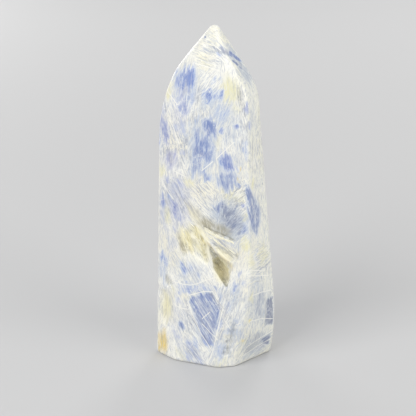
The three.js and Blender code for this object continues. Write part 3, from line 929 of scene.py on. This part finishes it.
# %% Slabs
# Each outline is followed by its strength and hue.
BLUE_SLABS = [
    # the large slab low on the front
    ([(-7, 21.5), (-3, 23.2), (-0.8, 23.8), (2, 19.5), (1, 14), (-0.3, 8), (-1.2, 5.5),
      (-4.5, 9.5), (-6.5, 15.5), (-7.8, 19.5)], 0.74, -0.3),
    # the pale blue band over it
    ([(-11.5, 25.3), (-6, 25.2), (-3, 25.8), (-0.8, 25.3), (-3, 23.8), (-7, 22.3), (-11, 20.5)], 0.38, 0.2),
    ([(-2.8, 25.9), (1.8, 26), (2.5, 22.5), (2, 19.5), (-0.8, 23.8)], 0.4, -0.3),
    # the leaf on the right side, level with the hollow's top
    ([(8.3, 58), (9.5, 56.5), (11.3, 52.5), (12.9, 48), (12.9, 44.5), (11.8, 40.5), (10.5, 42.5),
      (8.8, 48.5), (8.2, 53)], 0.85, -0.5),
    # two upright slabs low on the right side
    ([(11.7, 23.5), (13.5, 23), (13.5, 14), (12, 16)], 0.7, -0.9),
    ([(14.3, 20), (17, 19.5), (17.2, 9.5), (14.5, 10.5)], 1.05, -1),
    # the corner of the foot
    ([(13.5, 6.5), (16.5, 7), (16, 3), (14, 4)], 1.25, -0.9),
    # the band down the point's right facet
    ([(-0.5, 95.5), (2.3, 94.6), (4.5, 92.5), (7.2, 89.8), (6.5, 89.5), (3.5, 92), (1, 93.5)], 0.55, -0.8),
]
# How far inside its outline a slab starts and is in full.
SLAB_EDGE = (-0.4, 0.9)


def inside_outline(points, outline):
    """How far each point is inside an outline drawn across and up. Outside it is below 0."""
    flat = points[:, [0, 2]]
    inside = np.zeros(len(flat), bool)
    away = np.full(len(flat), np.inf)
    for (ax, az), (bx, bz) in zip(outline, outline[1:] + outline[:1]):
        away = np.minimum(away, distance_to_line(flat, np.array([ax, az]), np.array([bx, bz])))
        if az != bz:
            crosses = (flat[:, 1] > az) != (flat[:, 1] > bz)
            inside ^= crosses & (flat[:, 0] < ax + (flat[:, 1] - az) / (bz - az) * (bx - ax))
    return np.where(inside, away, -away)


for outline, strength, hue in BLUE_SLABS:
    cover = soft_step(inside_outline(lightly_brushed, outline), *SLAB_EDGE) * seen_from_front
    paint("blue", cover * strength, hue)
print(len(BLUE_SLABS), "slabs")

# %% [markdown]
# ## Cream, ochre, straw, smoke and painted shade
# Between the blades the rock is white to cream, golden where iron has stained it, straw-coloured on the
# fresh fibres of the hollow and smoky brown on its floor. The smoky layer also holds painted shade in the
# groove above the slanting blade, in the clefts, the notch and along the pit's wall. Ridges are the crests
# between hollows, painted light as a highlight. In some places the fibres are parted and the gaps between
# them show grey, and in others the cleavage shows as fine ruled lines.

# %% Stains
# For each layer, lines from (x, z) to (x, z) with their half width and strength.
STAINS = {
    "cream": [
        (4.5, 86, 4, 80.5, 1.8, 1), (5.5, 80, 6, 77.5, 1, 0.4), (-7.5, 56.5, -7, 54.5, 1.1, 0.7),
        (-15, 59, -15, 56, 1, 0.75), (3.5, 53.5, 5, 51, 1.5, 0.55), (7, 53.5, 8, 51.5, 1, 0.45),
        (8.3, 41, 8.7, 38, 1, 0.9), (-13.7, 47.5, -13.4, 42, 0.8, 0.65), (-13.3, 82, -14, 79, 1, 0.8),
        (-4, 91, -2, 89, 1.7, 0.3), (-11.5, 3, -7.5, 1, 1, 0.45), (3.5, 1.5, 0, 1.2, 1, 0.4),
        (-8, 41, -3, 34, 2, 0.7), (-12.5, 24, -12.3, 19, 0.6, 0.6), (-14.5, 19.5, -14.6, 12.5, 1.6, 0.7),
        (10.5, 58.5, 10.5, 54.5, 0.4, 1), (11.5, 83, 12, 75, 1, 0.6), (13, 37, 13.7, 32, 1.7, 0.6),
        (10, 36, 10.5, 31.5, 1.1, 0.5), (10.3, 24, 10.5, 20.5, 0.6, 0.8), (10, 15, 10, 14.5, 0.5, 1.3),
        (7, 8.5, 9, 8, 0.9, 0.6), (8, 48, 8.7, 46.5, 0.7, 0.7), (0.5, 98, -1, 94, 1.5, 0.25),
    ],
    "ochre": [
        (-15.2, 8, -15.3, 1, 1.4, 1), (-16, 7, -16, 1, 1.2, 1), (6.3, 57.5, 6.5, 57, 0.35, 0.8),
        (6.6, 61.6, 6.6, 61.2, 0.3, 0.9), (10, 15, 10, 14.6, 0.3, 0.7), (7.5, 9, 8.5, 8.6, 0.4, 0.5),
        (0.7, 35, 4.6, 32, 1.2, 0.45), (-2, 38.2, -0.4, 35.5, 0.3, 0.6), (-4.2, 40, -2.8, 36, 0.6, 0.3),
    ],
    "straw": [
        (-9, 41, -7.5, 35, 1.5, 1), (-7.2, 47.5, -5, 43.5, 1, 0.5), (-5.5, 43, -3, 35, 1.6, 1),
        (-4.5, 37, -2.4, 33, 0.9, 0.9), (0, 37.5, 4.8, 33.5, 0.8, 0.6), (0, 34, 2.5, 27.5, 1.6, 0.9),
        (-14.8, 20, -14.8, 11, 1.2, 0.6), (0.3, 69, 1, 66.8, 0.7, 0.4),
    ],
    "smoke_and_shade": [
        # painted shade in the groove above the slanting blade, and on the polish just above it
        (-3, 42.6, -1, 41.7, 0.35, 1), (-1.2, 41.8, 1.2, 41, 0.3, 1),
        (1, 41.1, 3, 40.6, 0.25, 1), (2.8, 40.7, 5.2, 39.8, 0.22, 0.8),
        (-4.2, 44.6, -0.5, 43.2, 1.4, 1), (-0.8, 43.4, 4.2, 41.8, 1.3, 0.85),
        # painted shade in the cleft on the left of the hollow, and in a short one beside the pit
        (-10.3, 38, -8.7, 33.2, 0.55, 0.9), (-11, 41, -9.5, 36, 0.7, 0.4),
        (-3.6, 36, -2.4, 32.5, 0.25, 0.5),
        # a grey shade on the left, above the middle
        (-12.8, 64, -12.2, 60, 0.6, 0.35),
        # the olive fibres that run into the hollow from above
        (-8.2, 50.5, -4.4, 44, 0.8, 0.6), (-6, 48.5, -3, 43.5, 0.9, 0.7), (-5.3, 41, -3.8, 36.5, 0.4, 0.35),
        # grey-olive fibres at the foot of the right side
        (8, 4.5, 13.5, 5.5, 1.2, 0.35), (10, 7.5, 14, 8, 0.8, 0.25),
        # the right shoulder of the point
        (6, 88, 8, 80, 0.7, 0.2),
        # brown lines in the ochre of the left side
        (-15.7, 8, -15.8, 1, 0.15, 0.5), (-14.7, 6, -14.7, 1, 0.12, 0.4),
        # the floor of the pit and its right rim, brown, with painted shade along the pit's left wall
        (-2.1, 38, -0.7, 36, 0.3, 0.6), (-0.8, 36, 0, 32.5, 0.3, 0.7), (-0.3, 32.5, 1.5, 29, 0.5, 0.5),
        (1.3, 29.5, 3.2, 26.5, 0.6, 0.5), (6.5, 36, 6, 34.8, 0.3, 0.7), (7.2, 37.5, 6.5, 36, 0.3, 0.5),
        (0.7, 34.7, 4.4, 32, 1.1, 0.3),
        # the notch and the slab's bed on the left side, dark olive and partly painted shade
        (-14, 27, -14, 23.5, 0.4, 0.6),
    ],
    # where the fibres are parted, so that grey gaps show between them
    "parted": [
        (-5, 93, 2, 90, 2.5, 0.3), (-1, 97.5, 0, 95, 1.5, 0.3), (-14, 78, -13, 60, 2.5, 1),
        (-10, 74, -10, 58, 3, 0.7), (-12, 57, -11, 44, 3, 0.9), (-5, 57, -1, 48, 3, 0.5),
        (4.5, 56, 8, 50, 2.5, 1), (-5, 76, -2, 70, 2.5, 0.7), (-5, 83, -4, 76, 2, 0.7),
        (-9, 31, -4, 26, 3, 0.2), (-4, 21, -1, 8, 3, 0.9), (-8, 20, -6, 8, 2, 0.5),
        (-9, 8, -3, 1, 3, 0.3), (3, 10, 8, 2, 3, 0.2), (6, 28, 2, 12, 3, 0.4),
        (9, 8, 15.5, 4, 2.5, 1), (13, 36, 14, 28, 3, 0.7), (12, 26, 14, 12, 3, 0.5),
        (-15, 20, -15, 11, 1.5, 0.1), (-15.5, 8, -15.5, 1, 1.5, 1), (5.5, 88, 8, 79, 1.2, 1),
        (8, 83, 9, 60, 1.5, 0.6), (12, 80, 13, 40, 3, 0.4),
    ],
    # where the cleavage shows as ruled lines along the blade
    "ruled": [
        (-4.5, 21.5, -1, 7.5, 2, 1), (-8.5, 20, -4.5, 8, 1, 0.9), (-1.5, 24.5, 2, 19.5, 1.1, 1),
        (-8, 6, -4, 1, 1, 1), (-0.5, 40.5, 4.5, 35.5, 1.2, 0.8), (10.5, 55, 11.5, 44, 1, 0.5),
        (4.5, 27, 0, 5, 0.8, 0.7), (12, 23, 12.5, 14, 1, 0.6), (15, 20, 15.5, 10, 1, 0.6),
        (-8, 88, -8, 76, 1.6, 0.5), (-9, 31, -5, 27, 1.2, 0.7), (-11.5, 57, -10, 44, 1.5, 0.5),
    ],
    # painted highlights on the crests of the fibres in the hollow
    "crest_highlight": [
        (-7.5, 40.5, -4.7, 37, 0.45, 1), (-4.2, 41.5, -2.7, 38.5, 0.35, 1), (-2.6, 37.5, -1.8, 33, 0.4, 0.9),
        (0.3, 36.6, 5, 33.3, 0.3, 0.35), (-9, 33.5, -3, 31.5, 1, 0.4),
    ],
}
CRISP_STAINS = ("smoke_and_shade", "crest_highlight")
STAIN_SPREAD = 2
# The smoky stain and the painted shade are weaker on the polish than in the hollows.
SMOKE_AND_SHADE_ON_POLISH = 0.7
BACK_CREAM = 14

for name, places in STAINS.items():
    paint_front(name, places, STAIN_SPREAD, crisp_below=math.inf if name in CRISP_STAINS else 0)
for _ in range(BACK_CREAM):
    start, end, _ = back_line(lowest=2, highest=86, turn_spread=5, shortest=1, longest=6)
    half_width, strength = draws.uniform(1, 2.6), draws.uniform(0.4, 0.9)
    paint("cream", cover_of((start, end), half_width * STAIN_SPREAD) * strength)
layers["smoke_and_shade"] *= SMOKE_AND_SHADE_ON_POLISH + (1 - SMOKE_AND_SHADE_ON_POLISH) * soft_step(depths, 0.05, HOLLOW_FROM)
print("cream covers", round(float((layers["cream"] > 0.3).mean() * 100)), "% of the stone")

# %% [markdown]
# ## White cracks and dark seams
# Thin cleavage cracks, healed with white, cross the blades in nearly straight lines, and here and there a
# seam between two blades is open and dark. A line much thinner than the net's squares can't be stored as a
# colour on its corners, but the signed distance to it can: the shader sees where the distance passes
# through zero and draws the line there as thin as it likes. A second number, the plain distance, ends the
# line where the crack ends.

# %% Cracks and seams
WHITE_CRACKS = [
    [(-3.5, 59.5), (-0.8, 62.2)], [(0.5, 63.5), (2, 65.2), (5, 68.5)],
    [(-12.7, 73), (-11.5, 70.5), (-10.2, 67)], [(-13.2, 80.5), (-11.8, 79), (-10.6, 77.5)],
    [(-14.5, 53.5), (-13.5, 52), (-12, 50)], [(-11, 58), (-8.5, 57)],
    [(-11.5, 24.8), (-9, 24.5), (-7, 24.6), (-5, 25.4), (-3, 26.6), (0.6, 28.4)],
    [(-7.2, 21.5), (-5, 22.5), (-3, 23.4), (-0.8, 23.6)],
    [(2.8, 22), (2.2, 19), (1.6, 16), (0.5, 11), (-0.5, 5.5), (-2, 1.5)], [(-3.5, 15), (-1.7, 17)],
    [(-3.5, 13), (-1.5, 11), (0.6, 9.2)], [(-7.8, 20), (-6.6, 15.4), (-4.3, 10.5), (-1, 5.5)],
    [(-12.4, 18), (-10, 17), (-8, 17)], [(-13.5, 24), (-12.4, 22.2), (-12.2, 18)], [(3, 15), (5.2, 11.3)],
    [(5, 14), (7, 15)], [(-5.2, 89), (-2.2, 88.6), (1.1, 88)], [(-0.8, 94.7), (1.4, 93.4)],
    [(10.1, 30), (15.2, 27)], [(10.4, 31.5), (14, 29.2)], [(10.8, 23.5), (13.4, 23), (16, 22)],
    [(10.2, 14.7), (13.5, 14), (16.6, 12.2)], [(6.7, 3), (9.6, 5.8), (13.7, 7), (16.7, 7.6)],
    [(8.4, 3), (12.3, 4.3), (16.2, 4.8)],
]
DARK_SEAMS = [
    # between the blades of the large slab
    [(-1.6, 23), (0.6, 20), (2, 18)], [(-0.9, 23), (2.3, 19.2)], [(-3, 9.5), (-1.4, 6.6)],
    [(-6.5, 15), (-4.6, 10.8)], [(-10.4, 12.8), (-9.2, 10)],
    # beside the cleft on the left, and over the hollow
    [(-13.6, 51.5), (-12.8, 48.5)], [(-10.8, 55), (-9.8, 52)], [(-8.8, 50), (-7, 46.5)],
    [(-5.3, 53.8), (-4.8, 53)], [(-3.9, 53.2), (-3.4, 52.8)],
    # the short steps of the saw-toothed patch
    [(5.5, 51.6), (6.6, 52.4)], [(6, 50.9), (7.6, 52.1)], [(6.9, 50.7), (8.2, 51.8)],
    [(7.2, 53), (8.4, 54)], [(6.6, 55.4), (7.2, 56.2)],
    # fine seams down the upper body and the right side
    [(-5.2, 76), (-5, 73)], [(5.8, 84), (6.8, 79)], [(6.6, 84), (7.4, 78)], [(7.9, 80), (8.1, 76.5)],
    [(10.2, 71), (10.4, 60)], [(12, 76), (12.4, 64)], [(11.5, 27.5), (13.5, 26.4)],
    [(14.4, 20), (14.5, 10.5)], [(14, 4.5), (16.3, 5.4)],
]
BACK_CRACKS, CRACK_SPREAD = 16, 14
BACK_SEAMS, SEAM_SPREAD = 10, 4
NO_LINE = 9.0


class LineField:
    """For each corner of the net, the nearest line of a family, and which side of it the corner is on."""

    def __init__(self):
        self.side, self.near = np.full((2, len(spots)), NO_LINE)

    def draw(self, start, end, normal):
        """Add one straight line that lies on a facet."""
        near = distance_to_line(spots, start, end)
        side = (spots - start) @ unit(np.cross(unit(end - start), normal))
        closer = near < self.near
        self.side[closer], self.near[closer] = side[closer], near[closer]

    def draw_front(self, lines):
        """Add the lines of a list, given across and up on the front."""
        for line in lines:
            for (x0, z0), (x1, z1) in zip(line, line[1:]):
                start, normal = on_front(x0, z0)
                self.draw(start, on_front(x1, z1)[0], normal)

    def draw_back(self, count, turn_spread):
        """Add lines drawn at random on the back."""
        for _ in range(count):
            self.draw(*back_line(4, 80, turn_spread, shortest=1, longest=9))

    def vectors(self):
        """The two distances as vectors, for an attribute."""
        return np.stack([self.side, self.near, 0 * self.near], axis=1)


cracks, seams = LineField(), LineField()
cracks.draw_front(WHITE_CRACKS)
cracks.draw_back(BACK_CRACKS, CRACK_SPREAD)
seams.draw_front(DARK_SEAMS)
seams.draw_back(BACK_SEAMS, SEAM_SPREAD)
print(len(WHITE_CRACKS) + BACK_CRACKS, "cracks and", len(DARK_SEAMS) + BACK_SEAMS, "seams")

# %% [markdown]
# ## Hand the layout to the shader
# Named attributes on the net's corners carry each layout value to the material, where an Attribute node
# reads it by name. The grain is stored face by face, so that no square of the net is stretched between two
# bundles. The splinters have a grain of their own each, and a painted highlight on their crest.

# %% Store the attributes
SPLINTER_STRAW = 0.4
# How far a facet has to look to the right to count as the right side, which is painted greyer, partly its
# own tone and partly painted shade.
RIGHT_FROM, RIGHT_FULL = 0.25, 0.6


def store(mesh, name, values):
    """One number, or one vector, for each corner of a mesh or for each corner of its faces."""
    kind, field = ("FLOAT_VECTOR", "vector") if values.ndim == 2 else ("FLOAT", "value")
    domain = "POINT" if len(values) == len(mesh.vertices) else "CORNER"
    made = mesh.attributes.new(name, kind, domain)
    made.data.foreach_set(field, values.astype(np.float32).ravel())


layers["hollow"] = hollow
layers["depth"] = depths
# the right side is painted greyer, partly its own tone and partly painted shade
layers["right side"] = soft_step(hull_normals[:, 0], RIGHT_FROM, RIGHT_FULL) * seen_from_front
for name, values in layers.items():
    store(net, name, values)
face_sizes = read_field(net.polygons, "loop_total")
face_corners = read_field(net.loops, "vertex_index")
first_corners = face_corners[np.cumsum(face_sizes) - face_sizes]
store(net, "grain", grain_at(spots[face_corners], np.repeat(nearest[first_corners], face_sizes)))
store(net, "crack", cracks.vectors())
store(net, "seam", seams.vectors())

splinter_grain = draws.uniform(-GRAIN_SHUFFLE, GRAIN_SHUFFLE, (splinter_count, 3))
# how strongly each splinter's crest is painted light, as a highlight
splinter_highlight = draws.uniform(0.3, 1, splinter_count)
store(splinter_mesh, "grain", np.repeat(splinter_grain, CORNERS_EACH, axis=0))
store(splinter_mesh, "crest_highlight", np.repeat(splinter_highlight, CORNERS_EACH))
store(splinter_mesh, "straw", np.full(len(splinter_corners), SPLINTER_STRAW))
for name in ("crack", "seam"):
    store(splinter_mesh, name, np.full((len(splinter_corners), 3), NO_LINE))
print(len(net.attributes), "attributes on the net")

# %% [markdown]
# ## Bladed grain
# Under the polish each bundle is a stack of blades of slightly different shade. Voronoi cells, stretched
# along the bundle, have just that look: every cell is one blade with a random height of its own, and the
# border where two cells meet is a fine white thread. Stretched noise adds the silky fibres. All of it is in
# one node group, so that coarse blades, fine fibres and threads that cross them are the same group with
# another size and turn.

# %% The bladed grain group
BLADE_SIZES = {"Blade width": 1.0, "Blade length": 6.0, "Turn": 0.0}
# How many widths deep a blade is, and how much the cells are scaled where their borders are threads.
BLADE_DEPTH = 2.5
THREAD_STRETCH = (0.8, 0.55, 1)

grain_group = bpy.data.node_groups.new("Bladed grain", "ShaderNodeTree")
grain_sockets = grain_group.interface
grain_sockets.new_socket("Grain", in_out="INPUT", socket_type="NodeSocketVector")
for name, value in BLADE_SIZES.items():
    number = grain_sockets.new_socket(name, in_out="INPUT", socket_type="NodeSocketFloat")
    number.default_value = value
for name in ("Tone", "Streak", "Thread"):
    grain_sockets.new_socket(name, in_out="OUTPUT", socket_type="NodeSocketFloat")
grain_in = grain_group.nodes.new("NodeGroupInput").outputs
grain_out = grain_group.nodes.new("NodeGroupOutput").inputs

turning = {"Vector": grain_in["Grain"], "Angle": grain_in["Turn"]}
turned = add_node(grain_group, "VectorRotate", turning, rotation_type="Z_AXIS").outputs["Vector"]
width, length = grain_in["Blade width"], grain_in["Blade length"]
sizes = add_node(grain_group, "CombineXYZ", {"X": width, "Y": length, "Z": times(width, BLADE_DEPTH)})
sized = {0: turned, 1: sizes.outputs["Vector"]}
scaled = add_node(grain_group, "VectorMath", sized, operation="DIVIDE").outputs["Vector"]
blade_colour = add_node(grain_group, "SeparateColor", {"Color": cells(scaled, "F1")["Color"]})
feed(blade_colour.outputs["Red"], grain_out["Tone"])
fibres = cloud(scaled, 1.4, 3, 0.65)
feed(mask(fibres, 0.3, 0.7), grain_out["Streak"])
stretched = {0: scaled, 1: THREAD_STRETCH}
longer = add_node(grain_group, "VectorMath", stretched, operation="MULTIPLY").outputs["Vector"]
border = cells(longer, "DISTANCE_TO_EDGE")["Distance"]
feed(times(mask(border, 0.07, 0.01), mask(fibres, 0.42, 0.56)), grain_out["Thread"])
print(len(grain_group.nodes), "nodes in the bladed grain")

# %% [markdown]
# ## The polished stone
# The colour is built up as the rock is: an ivory ground with grey-lilac gaps between its fibres, the pale
# wash, stains, then the blue of each blade, then the white threads and cracks on top. Painted shade and
# highlights go into the hollows, and the right side is painted a little greyer, partly as shade. The polish
# is a low roughness with a very slight relief along the fibres, and the broken faces of the hollows are
# rough.

# %% Helpers for the stone
stone, shader = new_finish("polished kyanite")
tree = stone.node_tree


def attribute(name, output="Fac"):
    """A value stored on the net's corners."""
    return add_node(tree, "Attribute", {}, attribute_name=name).outputs[output]


def blades_of(width, length, turn=0.0):
    """The bladed grain at one size, in millimetres, turned by an angle in degrees."""
    values = {"Grain": attribute("grain", "Vector"), "Turn": math.radians(turn)}
    values.update({"Blade width": width, "Blade length": length})
    return add_node(tree, "Group", values, node_tree=grain_group).outputs


def swing(value, reach):
    """A value from 0 to 1, moved to lie from -reach to reach."""
    return mask(value, 0, 1, -reach, reach)


def hued(name, blue, violet, slate):
    """The blue colour, moved towards violet or slate by a layer of hues."""
    return lay(blue, (attribute(name), violet), (times(attribute(name), -1), slate))


broad = blades_of(1.8, 8)
strand = blades_of(0.9, 5)
hair = blades_of(0.45, 3)
fine = blades_of(0.28, 1.7, 6)
rule = blades_of(0.5, 16)
crossing = blades_of(1.2, 5, 40)
place = tree.nodes.new("ShaderNodeTexCoord").outputs["Object"]
parted = attribute("parted")
print(len(tree.nodes), "nodes so far")

# %% [markdown]
# ## Ground and wash
# The pale parts are never one flat tone. Ivory fibres lie beside grey-lilac gaps at three widths, from about
# a millimetre down to three tenths of one, and the wash comes and goes from blade to blade.

# %% Ground and wash
IVORY, WARM_IVORY, SIDE_IVORY_AND_SHADE = tone(255, 254, 245), tone(249, 245, 226), tone(239, 238, 220)
GAP_GREY, DEEP_GAP, FINE_GREY = tone(187, 194, 206), tone(158, 163, 178), tone(168, 174, 188)
WASH_BLUE, WASH_VIOLET, WASH_SLATE = tone(199, 209, 224), tone(203, 204, 220), tone(194, 201, 208)

wash_share = plus(attribute("wash"), swing(broad["Streak"], 0.12), swing(hair["Streak"], 0.15))
between_fibres = plus(times(strand["Streak"], 0.5), times(hair["Streak"], 0.5))
gap_share = times(mask(between_fibres, 0.4, 0.8, 0, 0.85), mask(parted, 0, 1, 0.6, 1))
fine_share = times(mask(fine["Streak"], 0.45, 0.95, 0, 0.8), mask(parted, 0, 1, 0.5, 1))
colour = lay(
    IVORY,
    (mask(cloud(place, 90), 0.4, 0.7), WARM_IVORY),
    # the right side greyer: partly its own tone, partly painted shade
    (times(attribute("right side"), 0.6), SIDE_IVORY_AND_SHADE),
    (mask(wash_share, 0, 0.8, 0.1, 1), hued("wash hue", WASH_BLUE, WASH_VIOLET, WASH_SLATE)),
    (gap_share, GAP_GREY),
    (times(mask(strand["Streak"], 0.55, 0.95, 0, 0.6), parted), DEEP_GAP),
    (fine_share, FINE_GREY),
)
print(len(tree.nodes), "nodes with the ground")

# %% [markdown]
# ## Stains and blue
# The blue of a patch is uneven: each blade and each fibre in it is a little stronger or weaker. Weak blue is
# a pale sky tone, and strong blue is deep. The hue layer moves both towards violet or slate.

# %% Stains and blue
CREAM, OCHRE = tone(232, 229, 188), tone(238, 211, 122)
# Where the blue is weak and where it is strong: plain, towards violet and towards slate.
BLADE_TONES = (
    (tone(188, 202, 229), tone(124, 145, 202)),
    (tone(190, 193, 218), tone(136, 142, 190)),
    (tone(190, 197, 206), tone(136, 144, 166)),
)
UNEVENNESS = ((broad, 0.25), (strand, 0.2), (hair, 0.2), (fine, 0.15))

unevenness = plus(1.0, *[swing(blades["Streak"], reach) for blades, reach in UNEVENNESS])
unevenness = plus(unevenness, swing(mask(cloud(place, 650), 0.3, 0.7), 0.08))
strength = times(attribute("blue"), unevenness)
deepness = mask(strength, 0.3, 1.1)
colour = lay(
    colour,
    (times(attribute("cream"), mask(hair["Streak"], 0, 1, 1, 0.5)), CREAM),
    (times(attribute("ochre"), mask(hair["Streak"], 0, 1, 1, 0.65)), OCHRE),
    (mask(strength, 0, 0.7), hued("blue hue", *[tint(deepness, *tones) for tones in BLADE_TONES])),
)
print(len(tree.nodes), "nodes with the blue")

# %% [markdown]
# ## Threads, cracks and seams
# Where the cleavage shows, dark and white lines are ruled along the blades. White threads run along them
# too, and weaker ones cross them, all of them less where the blue is strong. A web of the finest cracks has
# no direction at all.

# %% Threads, cracks and seams
THREAD_WHITE, SEAM_GREY, RULE_GREY = tone(248, 247, 241), tone(156, 157, 160), tone(146, 154, 182)
WEB_SCALE = 600
THREADS = ((broad, 0.45), (strand, 0.4), (crossing, 0.3))
# For each family of lines, how far from its middle a line ends and is in full, in millimetres.
CRACK_EDGE, SEAM_EDGE = (0.21, 0.05), (0.16, 0.02)


def thin_line(name, edge):
    """1 on the lines of a family that an attribute holds, with soft edges and ends."""
    parts = add_node(tree, "SeparateXYZ", {"Vector": attribute(name, "Vector")}).outputs
    return times(mask(maths("ABSOLUTE", parts["X"]), *edge), mask(parts["Y"], 0.5, 0.3))


ruled = attribute("ruled")
whiteness = mask(attribute("blue"), 0.2, 0.8, 1, 0.4)
web_line = mask(cells(place, "DISTANCE_TO_EDGE", WEB_SCALE, "3D")["Distance"], 0.09, 0.02)
colour = lay(
    colour,
    (times(ruled, mask(rule["Streak"], 0.5, 0.75, 0, 0.7)), RULE_GREY),
    (times(ruled, mask(rule["Streak"], 0.4, 0.15, 0, 0.55)), THREAD_WHITE),
    *[(times(blades["Thread"], whiteness, share), THREAD_WHITE) for blades, share in THREADS],
    (times(web_line, mask(cloud(place, 220), 0.5, 0.65, 0, 0.28)), THREAD_WHITE),
    (times(thin_line("crack", CRACK_EDGE), 0.85), THREAD_WHITE),
    (times(thin_line("seam", SEAM_EDGE), mask(hair["Streak"], 0, 1, 0.3, 0.7)), SEAM_GREY),
)
print(len(tree.nodes), "nodes with the threads")

# %% [markdown]
# ## The hollows
# The broken fibres are straw yellow, with painted shade in the gaps between them, olive on the straw and
# grey on the slanting blade. Smoky brown stains and painted shade lie in the groove, the clefts and the pit,
# the crests carry a painted highlight, and the floor turns darker tan the deeper it lies.

# %% Hollows
STRAW, CREST_HIGHLIGHT = tone(251, 243, 198), tone(253, 250, 230)
# the brown of the smoky stains and of the painted shade in the hollows
SMOKE_AND_SHADE, DEEP_FLOOR = tone(166, 160, 134), tone(206, 192, 154)
# the painted shade in the gaps between the broken fibres of the hollows
GREY_GAP_SHADE, OLIVE_GAP_SHADE = tone(176, 179, 178), tone(196, 186, 148)

gap_shade_tone = tint(attribute("straw"), GREY_GAP_SHADE, OLIVE_GAP_SHADE)
colour = lay(
    colour,
    (times(attribute("straw"), 0.75), STRAW),
    # painted shade in the gaps between the broken fibres, olive on the straw and grey elsewhere
    (times(attribute("hollow"), mask(between_fibres, 0.4, 0.8, 0, 0.55)), gap_shade_tone),
    # smoky brown stain and painted shade in the groove, the clefts and the pit
    (times(attribute("smoke_and_shade"), mask(hair["Streak"], 0.1, 0.8, 0.6, 1), 0.9), SMOKE_AND_SHADE),
    # darker tan the deeper the floor lies
    (mask(attribute("depth"), 2.2, 4, 0, 0.3), DEEP_FLOOR),
    # painted highlight on the crests
    (times(attribute("crest_highlight"), 0.9), CREST_HIGHLIGHT),
)
feed(colour, shader["Base Color"])
print(len(tree.nodes), "nodes with the hollows")

# %% [markdown]
# ## Polish and relief
# Polished faces have a low roughness that varies a little with the fibres. The relief is a bump of a few
# hundredths of a millimetre, stronger on the broken fibres.

# %% Polish and relief
POLISH_ROUGHNESS = (0.3, 0.46)
HOLLOW_ROUGHNESS = 0.62
KYANITE_IOR = 1.6
RELIEF_STRENGTH = 0.4
RELIEF_HEIGHT = 0.05 * MM

polish = mask(hair["Streak"], 0, 1, *POLISH_ROUGHNESS)
broken = times(attribute("hollow"), HOLLOW_ROUGHNESS)
feed(maths("MAXIMUM", polish, broken), shader["Roughness"])
looseness = plus(times(attribute("hollow"), 5), times(parted, 1.5), 1)
threads = plus(strand["Thread"], times(crossing["Thread"], 0.7))
height = plus(times(plus(times(hair["Streak"], -1), threads), looseness), strand["Tone"])
bump = {"Strength": RELIEF_STRENGTH, "Distance": RELIEF_HEIGHT, "Height": height}
feed(add_node(tree, "Bump", bump).outputs["Normal"], shader["Normal"])
shader["IOR"].default_value = KYANITE_IOR
net.materials.append(stone)
splinter_mesh.materials.append(stone)
print(len(tree.nodes), "nodes in the polished kyanite")

# %% [markdown]
# ## Finish
# The net stands for the imported stone, which is hidden, and both pieces move with the root body and wear
# the polished kyanite material.

for face in net.polygons:
    face.use_smooth = True
for piece in (skin, splinters):
    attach(piece, "root")
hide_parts(STONE_NODE)

bpy.context.view_layer.update()
